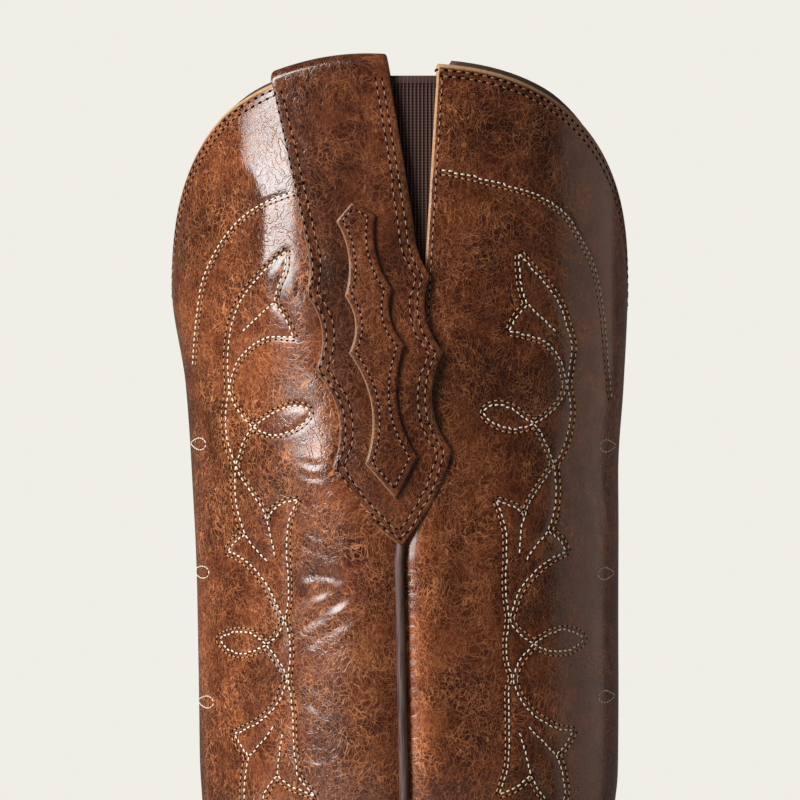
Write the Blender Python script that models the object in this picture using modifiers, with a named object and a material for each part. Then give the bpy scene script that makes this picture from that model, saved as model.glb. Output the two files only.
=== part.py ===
"""Tall western boot for the left foot, standing empty on its heel and the ball of its sole.

Blender 4.5, metres, +Z up. The toe points to -X, the outer side faces -Y, and the origin is on the floor
under the middle of the boot's box. Sizes below are millimetres, with x measured from the side seam.

The upper is worked out from one table of sections. Each section lies in a plane that runs from the boot's
front line (toe, instep, front of the shaft) to its bottom and back line (sole edge, heel, back of the
shaft). The planes stand upright at the toe, fan round the instep and lie level in the shaft.
"""

import math
from collections import namedtuple

import bmesh
import bpy
from mathutils import Vector

MM = 0.001

# Driving sizes
SHAFT_TOP = 422.0
COLLAR_DIP = 69.5
COLLAR_ROUNDNESS = 2.55
WALL = 2.2
GAP = 0.3
OUTSOLE_THICK = 5.0
WELT_THICK = 3.0
WELT_WIDTH = 8.0
INSOLE_THICK = 2.4
OVERLAY_THICK = 1.4
OVERLAY_LIFT = 0.5
TOP_LIFT_THICK = 6.0

# The outsole's front end and the shaft's back, either side of the seam, set the middle of the box.
TOE_REACH = 218.9
BACK_REACH = 72.3
SEAM_X = (TOE_REACH - BACK_REACH) / 2

# Underside of the outsole seen from the side. The ball of the foot is flat on the floor.
SoleRow = namedtuple("SoleRow", "x z")
SOLE_PROFILE = [
    SoleRow(-220, 14.0),
    SoleRow(-204, 8.5),
    SoleRow(-174, 2.4),
    SoleRow(-139, 0.0),
    SoleRow(-109, 0.0),
    SoleRow(-84, 5.0),
    SoleRow(-44, 19.5),
    SoleRow(-15, 29.8),
    SoleRow(10, 36.6),
    SoleRow(40, 40.6),
    SoleRow(70, 42.4),
]

# Foot sections, toe to heel. rise is the front line's height over the floor; sole_x and edge are the place
# and half width of the upper's lower edge; half is the section's greatest half width, at the share level of
# its height; swing shifts the section towards the inner side; margin is the sole's width past the upper.
FootRow = namedtuple("FootRow", "front_x rise sole_x edge half level swing margin")
FOOT_ROWS = [
    FootRow(-214, 0.0, -214, 0.0, 0.0, 0.40, 4.0, 5.0),
    FootRow(-213, 26.5, -213, 5.6, 6.2, 0.40, 4.0, 5.0),
    FootRow(-210, 32.0, -210, 11.0, 12.0, 0.38, 3.8, 5.0),
    FootRow(-204, 38.0, -204, 16.8, 18.2, 0.36, 3.6, 5.0),
    FootRow(-194, 45.0, -194, 23.0, 24.8, 0.34, 3.2, 5.0),
    FootRow(-178, 53.0, -178, 30.8, 32.6, 0.32, 2.6, 5.0),
    FootRow(-152, 65.0, -152, 40.2, 41.8, 0.30, 1.4, 5.0),
    FootRow(-124, 80.0, -124, 45.0, 46.5, 0.28, -0.4, 5.0),
    FootRow(-98, 99.0, -92, 40.0, 44.0, 0.30, -2.0, 4.5),
    FootRow(-78, 119.0, -56, 31.0, 40.0, 0.34, -2.8, 3.6),
    FootRow(-67, 138.0, -18, 27.5, 37.5, 0.36, -2.0, 2.8),
    FootRow(-63, 149.0, 14, 29.0, 36.0, 0.32, -0.8, 2.4),
    FootRow(-61.5, 155.0, 38, 29.0, 35.0, 0.28, 0.0, 2.4),
    FootRow(-61, 159.0, 54, 23.0, 34.5, 0.25, 0.0, 2.4),
    FootRow(-61, 162.0, 61.5, 13.5, 34.0, 0.23, 0.0, 2.4),
    FootRow(-61, 164.0, 64, 0.0, 34.0, 0.23, 0.0, 2.4),
]

# Leg sections, heel back to collar. sharp pinches the front and back folds of the shaft.
LegRow = namedtuple("LegRow", "front_x front_z back_x back_z half level sharp")
LEG_ROWS = [
    LegRow(-61, 168.0, 67.5, 72.0, 35.5, 0.27, 1.00),
    LegRow(-61.3, 173.0, 65, 98.0, 38.0, 0.33, 1.00),
    LegRow(-61.8, 178.0, 61, 124.0, 41.5, 0.40, 1.02),
    LegRow(-62.4, 184.0, 63, 152.0, 45.5, 0.46, 1.05),
    LegRow(-63, 192.0, 68, 184.0, 49.3, 0.50, 1.08),
    LegRow(-63.5, 200.0, 69.3, 200.0, 50.3, 0.50, 1.10),
    LegRow(-64.3, 245.0, 69.3, 245.0, 51.7, 0.50, 1.12),
    LegRow(-65.2, 290.0, 69.2, 290.0, 52.5, 0.50, 1.12),
    LegRow(-67.5, 320.0, 71, 320.0, 53.2, 0.50, 1.12),
    LegRow(-72.2, 352.0, 72.2, 352.0, 54.0, 0.50, 1.12),
    LegRow(-72.3, 388.0, 72.3, 388.0, 54.6, 0.50, 1.12),
    LegRow(-72.3, 430.0, 72.3, 430.0, 55.2, 0.50, 1.12),
]

LAST_FOOT_ROW = len(FOOT_ROWS) - 1
FIRST_LEVEL_ROW = len(FOOT_ROWS) + 5
LAST_ROW = len(FOOT_ROWS) + len(LEG_ROWS) - 1

# Where the upper's wall is sampled: rows of the tables, level cuts of the shaft, then shares of the way up
# to the collar, and turns from the outer sole edge over the front line to the inner one.
HALF_ROWS = [row + 0.5 for row in range(4, LAST_FOOT_ROW)]
SOLE_ROWS = sorted([*range(LAST_FOOT_ROW + 1), *HALF_ROWS])
WALL_ROWS = SOLE_ROWS + [*range(LAST_FOOT_ROW + 1, FIRST_LEVEL_ROW + 1)]
SHAFT_LEVELS = [222.0, 245.0, 268.0, 290.0, 312.0]
COLLAR_BASE = 334.0
COLLAR_SHARES = [0.0, 0.3, 0.65, 1.0]
TURN_STEPS = 28
TURNS = [math.pi * (2 * step / TURN_STEPS - 1) for step in range(TURN_STEPS + 1)]

# The notch at the top of each side seam, and the elastic gore that fills it
NOTCH_TOP_Z = 432.0
NOTCH_FRONT_X = -11.5
NOTCH_BACK_X = 12.4
NOTCH_POINT_X = 6.0
NOTCH_POINT_Z = 326.0
GORE_TOP_Z = 418.0
GORE_END_Z = 335.0
GORE_THICK = 1.2
GORE_INSET = 0.5

# Pull strap: its axis starts at the fold over the collar and leans back as it runs down the side.
STRAP_TOP_X = -22.4
STRAP_TOP_Z = 422.1
STRAP_LEAN = math.radians(8.55)
STRAP_BOW = 2.0
STRAP_CROWN = 2.0
STRAP_CROWN_FADE = 40.0
STRAP_THICK = 2.0
STRAP_INSIDE = 42.0
STRAP_INSIDE_GAP = 0.8
PATCH_THICK = 1.4
# Half width of a strap edge at a distance down from the fold. sag scoops the run down to the next row.
EdgeRow = namedtuple("EdgeRow", "down half sag")
STRAP_EDGE = [
    EdgeRow(0.0, 18.2, 0.0),
    EdgeRow(55.0, 16.9, 1.2),
    EdgeRow(71.1, 19.4, 3.55),
    EdgeRow(95.9, 20.0, 4.7),
    EdgeRow(126.3, 18.6, -2.6),
    EdgeRow(153.2, 0.5, 0.0),
]
PATCH_EDGE = [
    EdgeRow(45.9, 0.4, 0.0),
    EdgeRow(50.7, 6.0, 2.4),
    EdgeRow(74.4, 7.2, 2.5),
    EdgeRow(93.1, 8.5, 4.3),
    EdgeRow(127.0, 7.9, 0.0),
    EdgeRow(138.4, 0.4, 0.0),
]
EDGE_STEPS = 3

# Side piping, from the strap's point to the sole, as places in the side view
PIPING_RADIUS = 1.3
PIPING_POINTS = [(0.2, 266.0), (1.6, 190.0), (3.5, 140.0), (5.5, 100.0), (7.0, 53.5)]
PIPING_STEPS = 16

# Cut lines of the overlays in the side view
VAMP_LINE = [(-66, 170), (-60, 156), (-55, 135), (-44, 112), (-26, 88), (-8, 64), (0, 48)]
VAMP_LAST_ROW = 13.5
COUNTER_LINE = [(13, 50), (14, 62), (22, 82), (40, 99), (76, 112)]
COUNTER_FIRST_ROW = 10
COUNTER_LAST_ROW = LAST_FOOT_ROW + 4

# Heel: a level from its seat to its foot. drop is the share of the way down.
HeelLevel = namedtuple("HeelLevel", "drop breast_x back_x half")
HEEL_LEVELS = [
    HeelLevel(0.0, 4.0, 65.5, 31.0),
    HeelLevel(0.3, 4.8, 62.0, 28.6),
    HeelLevel(0.65, 5.6, 58.6, 26.8),
    HeelLevel(1.0, 6.5, 56.0, 26.0),
]
HEEL_STRAIGHT_SHARE = 0.5
HEEL_ROUND_STEPS = 6
HEEL_ROUNDNESS = 0.8

TINY = 1e-6
PROBE = 1e-3


class Track:
    """A smooth line through (knot, value) pairs that never overshoots a pair."""

    def __init__(self, knots, values):
        self.knots = list(knots)
        self.values = list(values)
        pairs = zip(zip(self.knots, self.values), zip(self.knots[1:], self.values[1:]))
        steps = [(v1 - v0) / (k1 - k0) for (k0, v0), (k1, v1) in pairs]
        self.slopes = [steps[0]]
        for before, after in zip(steps, steps[1:]):
            same_way = before * after > 0
            self.slopes.append(2 * before * after / (before + after) if same_way else 0.0)
        self.slopes.append(steps[-1])

    def at(self, knot):
        knot = min(max(knot, self.knots[0]), self.knots[-1])
        span = 0
        while span < len(self.knots) - 2 and knot > self.knots[span + 1]:
            span += 1
        width = self.knots[span + 1] - self.knots[span]
        u = (knot - self.knots[span]) / width
        low, high = self.values[span], self.values[span + 1]
        lead, trail = self.slopes[span] * width, self.slopes[span + 1] * width
        rise = high - low
        return low + u * (lead + u * (3 * rise - 2 * lead - trail + u * (lead + trail - 2 * rise)))


SOLE_TRACK = Track([row.x for row in SOLE_PROFILE], [row.z for row in SOLE_PROFILE])


def sole_bottom(x):
    return SOLE_TRACK.at(x)


def outsole_top(x):
    return sole_bottom(x) + OUTSOLE_THICK


def welt_top(x):
    return outsole_top(x) + GAP + WELT_THICK


def upper_edge(x):
    """Height of the upper's lower edge, on the welt."""
    return welt_top(x) + GAP


Section = namedtuple("Section", "front_x front_z back_x back_z half edge level swing sharp")


def section_table():
    """The foot and leg rows as one list of sections. The toe's tip is a point on the welt."""
    foot = []
    for r in FOOT_ROWS:
        edge_z = upper_edge(r.sole_x)
        front_z = max(r.rise, edge_z)
        foot.append(Section(r.front_x, front_z, r.sole_x, edge_z, r.half, r.edge, r.level, r.swing, 1.0))
    leg = [
        Section(r.front_x, r.front_z, r.back_x, r.back_z, r.half, 0.0, r.level, 0.0, r.sharp)
        for r in LEG_ROWS
    ]
    return foot + leg


SECTION_TRACKS = [Track(range(LAST_ROW + 1), column) for column in zip(*section_table())]
MARGIN_TRACK = Track(range(LAST_FOOT_ROW + 1), [row.margin for row in FOOT_ROWS])
EDGE_TRACK = Track(range(LAST_FOOT_ROW + 1), [row.edge for row in FOOT_ROWS])


def section(row):
    """The section at a row or between two. The sole edge closes at the heel's back, square to the boot."""
    return Section(*[track.at(row) for track in SECTION_TRACKS])._replace(edge=EDGE_TRACK.at(row))


def foot_angle(s):
    """Where a section's lower oval is cut off by the sole: 0 when it closes, near a right angle when the
    wall stands upright on the sole edge."""
    ratio = min(s.edge / s.half, 0.985) if s.half > 0 else 0.0
    return math.asin(ratio ** (1 / s.sharp))


def wall_point(row, turn):
    """A point of the upper's outer face. turn is 0 on the front line, -pi on the outer sole edge or the
    back line, and +pi on the inner one."""
    s = section(row)
    swung = abs(turn)
    if swung <= math.pi / 2:
        share = s.level + (1 - s.level) * math.cos(swung)
    else:
        foot = foot_angle(s)
        swung = math.pi / 2 - (swung - math.pi / 2) * (math.pi / 2 - foot) / (math.pi / 2)
        share = s.level * (1 - math.cos(swung) / math.cos(foot))
    half = s.half * math.sin(swung) ** s.sharp
    x = s.back_x + share * (s.front_x - s.back_x)
    z = s.back_z + share * (s.front_z - s.back_z)
    return Vector((x, s.swing + math.copysign(half, turn), z))


def wall_normal(row, turn):
    """Outward direction of the wall at a point."""
    up = wall_point(min(row + PROBE, LAST_ROW), turn) - wall_point(max(row - PROBE, 0), turn)
    after = wall_point(row, min(turn + PROBE, math.pi))
    before = wall_point(row, max(turn - PROBE, -math.pi))
    normal = up.cross(after - before)
    if normal.length < TINY * TINY:
        return Vector((-1, 0, 0))
    if row > LAST_FOOT_ROW and math.pi - abs(turn) < PROBE:
        normal.y = 0
    return normal.normalized()


def lifted(row, turn, lift):
    """A point at a distance off the wall's outer face."""
    return wall_point(row, turn) + lift * wall_normal(row, turn)


def row_at_height(z):
    """The level row of the shaft at a height."""
    low, high = FIRST_LEVEL_ROW, LAST_ROW
    for _ in range(40):
        middle = (low + high) / 2
        low, high = (middle, high) if section(middle).front_z < z else (low, middle)
    return low


def row_through(x, z):
    """The row whose plane passes through a point of the side view."""
    low, high = 0.0, float(LAST_ROW)
    for _ in range(40):
        middle = (low + high) / 2
        s = section(middle)
        over = (s.front_x - s.back_x) * (z - s.back_z) - (s.front_z - s.back_z) * (x - s.back_x)
        low, high = (middle, high) if over < 0 else (low, middle)
    return low


def side_point(x, z, lift, side):
    """A point at a distance off the wall, over a place in the side view. side is -1 outer, +1 inner."""
    row = row_through(x, z)
    s = section(row)
    run_x, run_z = s.front_x - s.back_x, s.front_z - s.back_z
    share = ((x - s.back_x) * run_x + (z - s.back_z) * run_z) / (run_x**2 + run_z**2)
    if share >= s.level:
        turn = math.acos(min((share - s.level) / (1 - s.level), 1.0))
    else:
        foot = foot_angle(s)
        swung = math.acos(math.cos(foot) * (1 - max(share, 0.0) / s.level))
        turn = math.pi / 2 * (1 + (math.pi / 2 - swung) / (math.pi / 2 - foot))
    return lifted(row, side * turn, lift)


def collar_height(turn):
    """Height of the collar, which falls to a dip at the front and at the back."""
    fall = (1 - abs(math.cos(turn)) ** COLLAR_ROUNDNESS) ** (1 / COLLAR_ROUNDNESS)
    return SHAFT_TOP - COLLAR_DIP * (1 - fall)


def placed(point):
    """From the side seam's millimetres to the part's metres."""
    return Vector((point[0] + SEAM_X, point[1], point[2])) * MM


def clear_scene():
    for old in list(bpy.data.objects):
        bpy.data.objects.remove(old)


def make_collection(name):
    collection = bpy.data.collections.new(name)
    bpy.context.scene.collection.children.link(collection)
    return collection


def make_material(name, colour, roughness):
    material = bpy.data.materials.new(name)
    material.use_nodes = True
    shader = material.node_tree.nodes["Principled BSDF"]
    shader.inputs["Base Color"].default_value = (*colour, 1.0)
    shader.inputs["Roughness"].default_value = roughness
    shader.inputs["Metallic"].default_value = 0.0
    return material


clear_scene()
BOOT = make_collection("western_boot")
CUTTERS = make_collection("cutters")
LEATHER = make_material("waxed_brown_leather", (0.14, 0.052, 0.022), 0.35)
TRIM_LEATHER = make_material("brown_strap_leather", (0.16, 0.060, 0.026), 0.4)
SOLE_LEATHER = make_material("sole_leather", (0.22, 0.105, 0.045), 0.5)
HEEL_LEATHER = make_material("stacked_heel_leather", (0.10, 0.045, 0.022), 0.4)
INSOLE_LEATHER = make_material("insole_leather", (0.42, 0.27, 0.15), 0.7)
ELASTIC = make_material("brown_elastic", (0.055, 0.032, 0.026), 0.85)
PIPING = make_material("dark_piping", (0.035, 0.020, 0.015), 0.4)
RUBBER = make_material("black_rubber", (0.02, 0.018, 0.017), 0.75)


def add_object(name, form, material):
    """Turns a bmesh into a named object of the boot, shaded smooth."""
    mesh = bpy.data.meshes.new(name)
    form.to_mesh(mesh)
    form.free()
    mesh.materials.append(material)
    mesh.shade_smooth()
    mesh.set_sharp_from_angle(angle=math.radians(35))
    made = bpy.data.objects.new(name, mesh)
    BOOT.objects.link(made)
    return made


def surface(grid):
    """A bmesh skin over rows of points, wound so that it faces away from the foot on the outer side."""
    form = bmesh.new()
    rows = [[form.verts.new(placed(point)) for point in row] for row in grid]
    for low, high in zip(rows, rows[1:]):
        for step in range(len(low) - 1):
            form.faces.new((low[step], high[step], high[step + 1], low[step + 1]))
    bmesh.ops.remove_doubles(form, verts=form.verts, dist=TINY)
    loose = [vert for vert in form.verts if not vert.link_faces]
    bmesh.ops.delete(form, geom=loose, context="VERTS")
    bmesh.ops.triangulate(form, faces=form.faces, quad_method="SHORT_EDGE")
    return form


def thicken(made, thickness, offset):
    """Solidify: offset -1 grows the wall inwards, +1 outwards, 0 both ways."""
    solidify = made.modifiers.new("wall", "SOLIDIFY")
    solidify.thickness = thickness * MM
    solidify.offset = offset
    solidify.use_quality_normals = True


def prism(name, outline, near_y, far_y):
    """A cutter: an outline of the side view drawn out across the boot."""
    form = bmesh.new()
    face = form.faces.new([form.verts.new(placed((x, near_y, z))) for x, z in outline])
    drawn = bmesh.ops.extrude_face_region(form, geom=[face])
    corners = [item for item in drawn["geom"] if isinstance(item, bmesh.types.BMVert)]
    bmesh.ops.translate(form, verts=corners, vec=(0, (far_y - near_y) * MM, 0))
    bmesh.ops.recalc_face_normals(form, faces=form.faces)
    mesh = bpy.data.meshes.new(name)
    form.to_mesh(mesh)
    form.free()
    cutter = bpy.data.objects.new(name, mesh)
    cutter.hide_render = True
    cutter.display_type = "WIRE"
    CUTTERS.objects.link(cutter)
    return cutter


def cut(made, cutter, operation):
    boolean = made.modifiers.new(cutter.name, "BOOLEAN")
    boolean.operation = operation
    boolean.object = cutter


SIDES = {"outer": -1, "inner": 1}


def make_upper():
    """Front and back panels with their lining: one wall, open underneath and at the collar."""
    grid = [[wall_point(row, turn) for turn in TURNS] for row in WALL_ROWS]
    for level in SHAFT_LEVELS:
        grid.append([wall_point(row_at_height(level), turn) for turn in TURNS])
    for share in COLLAR_SHARES:
        heights = [COLLAR_BASE + share * (collar_height(turn) - COLLAR_BASE) for turn in TURNS]
        grid.append([wall_point(row_at_height(z), turn) for z, turn in zip(heights, TURNS)])
    upper = add_object("upper", surface(grid), LEATHER)
    thicken(upper, WALL, -1)
    notch = [
        (NOTCH_FRONT_X, NOTCH_TOP_Z),
        (NOTCH_BACK_X, NOTCH_TOP_Z),
        (NOTCH_POINT_X, NOTCH_POINT_Z),
    ]
    for name, side in SIDES.items():
        cut(upper, prism(f"notch_{name}", notch, side * 30, side * 80), "DIFFERENCE")


def overlay_grid(rows, turns):
    """Points just off the upper, at the wall's own rows and turns so that the two skins stay parallel."""
    return [[lifted(row, turn, OVERLAY_LIFT) for turn in turns] for row in rows]


def sole_edge_line(from_x, to_x, steps):
    """Places of the side view just over the welt."""
    places = [from_x + (to_x - from_x) * step / steps for step in range(steps + 1)]
    return [(x, upper_edge(x) + 2 * GAP) for x in places]


def make_overlay(name, grid, outline):
    """A leather overlay: a skin just off the upper, cut to an outline of the side view."""
    made = add_object(name, surface(grid), LEATHER)
    thicken(made, OVERLAY_THICK, 1)
    cut(made, prism(f"{name}_outline", outline, -90, 90), "INTERSECT")


def make_overlays():
    """The vamp, from the welt up over the forefoot to a tongue on the instep, and the counter, a cup of
    leather round the back of the heel."""
    vamp_rows = [row for row in SOLE_ROWS if row <= VAMP_LAST_ROW]
    vamp_outline = [(-230, 170), *VAMP_LINE, *sole_edge_line(VAMP_LINE[-1][0], -230, 30)]
    make_overlay("vamp", overlay_grid(vamp_rows, TURNS), vamp_outline)
    counter_rows = [row for row in WALL_ROWS if COUNTER_FIRST_ROW <= row <= COUNTER_LAST_ROW]
    counter_outline = [*COUNTER_LINE, *sole_edge_line(76, COUNTER_LINE[0][0], 10)]
    make_overlay("heel_counter", overlay_grid(counter_rows, TURNS), counter_outline)


def sole_outline(row, margin):
    """(x, half width) of the sole's outline at a foot row, set out from the upper's edge by a margin."""
    low, high = section(max(row - PROBE, 0)), section(min(row + PROBE, LAST_FOOT_ROW))
    along, out = high.back_x - low.back_x, high.edge - low.edge
    length = math.hypot(along, out)
    s = section(row)
    return s.back_x - margin * out / length, max(s.edge + margin * along / length, 0.6)


def layered_plate(name, stations, material):
    """A solid from cross sections. A station is (swing, levels), and a level, from the top down, is
    (x, half width, z)."""
    form = bmesh.new()

    def corner(swing, level, side):
        return form.verts.new(placed((level[0], swing + side * level[1], level[2])))

    sides = [
        [[corner(swing, level, side) for level in levels] for swing, levels in stations]
        for side in (-1, 1)
    ]
    for run in sides:
        for one, other in zip(run, run[1:]):
            for high in range(len(one) - 1):
                form.faces.new((one[high], other[high], other[high + 1], one[high + 1]))
    outer, inner = sides
    for step in range(len(stations) - 1):
        for level in (0, -1):
            ring = (outer[step], outer[step + 1], inner[step + 1], inner[step])
            form.faces.new([column[level] for column in ring])
    for end in (0, -1):
        for high in range(len(outer[end]) - 1):
            form.faces.new((outer[end][high], outer[end][high + 1], inner[end][high + 1], inner[end][high]))
    bmesh.ops.recalc_face_normals(form, faces=form.faces)
    return add_object(name, form, material)


def make_outsole():
    stations = []
    for row in SOLE_ROWS:
        x, half = sole_outline(row, MARGIN_TRACK.at(row))
        stations.append((section(row).swing, [(x, half, outsole_top(x)), (x, half, sole_bottom(x))]))
    layered_plate("outsole", stations, SOLE_LEATHER)


def make_insole():
    """Insole board on the welt's inner edge, with its filler plug inside the welt."""
    stations = []
    for row in SOLE_ROWS:
        board_x, board = sole_outline(row, -WALL - 3 * GAP)
        plug_x, plug = sole_outline(row, -WELT_WIDTH - GAP)
        levels = [
            (board_x, board, upper_edge(board_x) + INSOLE_THICK),
            (board_x, board, upper_edge(board_x)),
            (plug_x, plug, upper_edge(plug_x)),
            (plug_x, plug, outsole_top(plug_x) + GAP),
        ]
        stations.append((section(row).swing, levels))
    layered_plate("insole", stations, INSOLE_LEATHER)


def make_welt():
    """A strip of leather that runs right round between outsole and upper."""
    loop = [(row, -1) for row in SOLE_ROWS] + [(row, 1) for row in reversed(SOLE_ROWS)]
    form = bmesh.new()
    ring = []
    for row, side in loop:
        swing = section(row).swing
        strip = []
        for margin in (MARGIN_TRACK.at(row), -WELT_WIDTH):
            x, half = sole_outline(row, margin)
            for z in (outsole_top(x) + GAP, welt_top(x)):
                strip.append(form.verts.new(placed((x, swing + side * half, z))))
        out_low, out_high, in_low, in_high = strip
        ring.append((out_low, out_high, in_high, in_low))
    for one, other in zip(ring, ring[1:] + ring[:1]):
        for corner in range(4):
            after = (corner + 1) % 4
            form.faces.new((one[corner], other[corner], other[after], one[after]))
    bmesh.ops.recalc_face_normals(form, faces=form.faces)
    add_object("welt", form, SOLE_LEATHER)


def heel_plan():
    """(share of the length, share of the half width) from the breast to the back."""
    plan = [(0.0, 0.97), (HEEL_STRAIGHT_SHARE / 2, 1.0)]
    for step in range(HEEL_ROUND_STEPS + 1):
        angle = math.pi / 2 * step / HEEL_ROUND_STEPS
        share = HEEL_STRAIGHT_SHARE + (1 - HEEL_STRAIGHT_SHARE) * math.sin(angle)
        plan.append((share, max(math.cos(angle), 0.0) ** HEEL_ROUNDNESS))
    return plan


def make_heel():
    """Stack of leather lifts, narrower and further forward at its foot, on a rubber top lift."""
    foot_z = TOP_LIFT_THICK + GAP
    stations = []
    for share, width in heel_plan():
        levels = []
        for level in HEEL_LEVELS:
            x = level.breast_x + share * (level.back_x - level.breast_x)
            seat = sole_bottom(x) - GAP
            levels.append((x, max(level.half * width, 0.6), seat + level.drop * (foot_z - seat)))
        stations.append((0.0, levels))
    layered_plate("heel_stack", stations, HEEL_LEATHER)
    foot = [(levels[-1][0], levels[-1][1]) for _, levels in stations]
    lift = [(0.0, [(x, half, TOP_LIFT_THICK), (x, half, 0.0)]) for x, half in foot]
    layered_plate("heel_top_lift", lift, RUBBER)


def make_piping():
    """A bead along each side seam, from the strap's point down to the welt."""
    heights = [z for _, z in PIPING_POINTS]
    line = Track(heights[::-1], [x for x, _ in PIPING_POINTS][::-1])
    for name, side in SIDES.items():
        curve = bpy.data.curves.new(f"side_piping_{name}", "CURVE")
        curve.dimensions = "3D"
        curve.bevel_depth = PIPING_RADIUS * MM
        curve.bevel_resolution = 1
        curve.use_fill_caps = True
        curve.materials.append(PIPING)
        spline = curve.splines.new("POLY")
        spline.points.add(PIPING_STEPS)
        for step, point in enumerate(spline.points):
            z = heights[0] + (heights[-1] - heights[0]) * step / PIPING_STEPS
            spot = placed(side_point(line.at(z), z, PIPING_RADIUS + GAP, side))
            point.co = (*spot, 1.0)
        BOOT.objects.link(bpy.data.objects.new(curve.name, curve))


def notch_edges(z):
    """x of the notch's front and back edges at a height."""
    share = (z - NOTCH_POINT_Z) / (NOTCH_TOP_Z - NOTCH_POINT_Z)
    front = NOTCH_POINT_X + share * (NOTCH_FRONT_X - NOTCH_POINT_X)
    back = NOTCH_POINT_X + share * (NOTCH_BACK_X - NOTCH_POINT_X)
    return front, back


def facing_out(grid, side):
    """The grid wound so that its skin faces out on that side."""
    return grid if side < 0 else [row[::-1] for row in grid]


def make_gores():
    """Elastic that fills the notch, set just below the panels' faces."""
    steps_down, steps_across = 6, 4
    for name, side in SIDES.items():
        grid = []
        for down in range(steps_down + 1):
            z = GORE_END_Z + (GORE_TOP_Z - GORE_END_Z) * down / steps_down
            front, back = notch_edges(z)
            front, back = front + 1.3 * GAP, back - 1.3 * GAP
            places = [back + (front - back) * step / steps_across for step in range(steps_across + 1)]
            grid.append([side_point(x, z, -GORE_INSET, side) for x in places])
        gore = add_object(f"gore_{name}", surface(facing_out(grid, side)), ELASTIC)
        thicken(gore, GORE_THICK, -1)


def edge_stations(edge):
    """(down, half width) along a scalloped edge: straight or scooped runs between its corner rows."""
    stations = []
    for one, other in zip(edge, edge[1:]):
        for step in range(EDGE_STEPS):
            u = step / EDGE_STEPS
            scoop = 4 * one.sag * u * (1 - u)
            stations.append((one.down + u * (other.down - one.down), one.half + u * (other.half - one.half) - scoop))
    stations.append((edge[-1].down, edge[-1].half))
    return stations


def strap_place(down, across):
    """Side view of a point of the strap: down from the fold along its axis, across towards the back. The
    fold is crowned, highest in the middle of the strap."""
    crown = STRAP_CROWN * max(0.0, 1 - down / STRAP_CROWN_FADE)
    down -= crown * (1 - (across / STRAP_EDGE[0].half) ** 2)
    across += STRAP_BOW * math.sin(math.pi * max(down, 0.0) / STRAP_EDGE[-1].down)
    x = STRAP_TOP_X + down * math.sin(STRAP_LEAN) + across * math.cos(STRAP_LEAN)
    z = STRAP_TOP_Z - down * math.cos(STRAP_LEAN) + across * math.sin(STRAP_LEAN)
    return x, z


def strap_row(down, half, lift, side, steps):
    """Points across the strap, back edge to front edge."""
    spread = [half * (1 - 2 * step / steps) for step in range(steps + 1)]
    return [side_point(*strap_place(down, across), lift, side) for across in spread]


def make_straps():
    """Pull straps, folded over the collar with a short leg inside, each with a small patch."""
    outside = GAP + STRAP_THICK / 2
    inside = -WALL - STRAP_INSIDE_GAP - STRAP_THICK / 2
    fold_radius = (outside - inside) / 2
    fold_down = fold_radius + STRAP_THICK / 2
    fold_middle = (outside + inside) / 2
    fold_steps, inside_steps, across_steps = 5, 3, 4
    top_half = STRAP_EDGE[0].half
    for name, side in SIDES.items():
        grid = []
        for down, half in reversed(edge_stations(STRAP_EDGE)):
            if down > fold_down + 2:
                grid.append(strap_row(down, half, outside, side, across_steps))
        for step in range(fold_steps + 1):
            angle = math.pi * step / fold_steps
            lift = fold_middle + fold_radius * math.cos(angle)
            down = fold_down - fold_radius * math.sin(angle)
            grid.append(strap_row(down, top_half, lift, side, across_steps))
        for step in range(1, inside_steps + 1):
            grid.append(strap_row(fold_down + STRAP_INSIDE * step / inside_steps, top_half, inside, side, across_steps))
        strap = add_object(f"pull_strap_{name}", surface(facing_out(grid, side)), TRIM_LEATHER)
        thicken(strap, STRAP_THICK, 0)
        patch_lift = 2 * GAP + STRAP_THICK
        grid = [
            strap_row(down, half, patch_lift, side, 2) for down, half in reversed(edge_stations(PATCH_EDGE))
        ]
        patch = add_object(f"strap_patch_{name}", surface(facing_out(grid, side)), TRIM_LEATHER)
        thicken(patch, PATCH_THICK, 1)


make_outsole()
make_welt()
make_heel()
make_insole()
make_upper()
make_overlays()
make_piping()
make_gores()
make_straps()
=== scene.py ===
import math

import bmesh
import bpy
import numpy as np
from mathutils import Matrix, Vector, noise
from mathutils.bvhtree import BVHTree
from mathutils.kdtree import KDTree


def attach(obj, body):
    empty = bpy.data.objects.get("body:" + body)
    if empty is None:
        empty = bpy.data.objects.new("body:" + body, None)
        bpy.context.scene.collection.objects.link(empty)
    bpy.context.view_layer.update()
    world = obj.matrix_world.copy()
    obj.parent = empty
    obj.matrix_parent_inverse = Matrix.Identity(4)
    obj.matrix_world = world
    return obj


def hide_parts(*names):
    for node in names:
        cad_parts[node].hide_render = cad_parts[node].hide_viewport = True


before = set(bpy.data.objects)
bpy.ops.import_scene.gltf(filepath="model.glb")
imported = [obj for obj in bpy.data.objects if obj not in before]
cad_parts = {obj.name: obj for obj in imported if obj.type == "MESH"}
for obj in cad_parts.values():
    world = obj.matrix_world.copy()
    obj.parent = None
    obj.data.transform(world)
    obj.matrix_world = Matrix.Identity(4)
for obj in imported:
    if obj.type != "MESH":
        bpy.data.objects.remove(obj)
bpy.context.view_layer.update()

# Floor, light and camera. A pale floor that fades out, a tall softbox on the left that lays a long glare down
# the front panel, a weaker one behind on the right, and a long lens level with the shaft.
# The boot is measured in millimetres, with x from its side seam, which stands at SEAM_X in the frame.
SEAM_X = 73.3
MM = 0.001
BACKDROP = (0.871, 0.855, 0.799, 1)
SHAFT_MIDDLE = Vector((SEAM_X * MM, 0, 0.3152))


def add_to_scene(name, data):
    """A mesh, a light or a camera as an object of the scene."""
    made = bpy.data.objects.new(name, data)
    bpy.context.scene.collection.objects.link(made)
    return made


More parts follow.
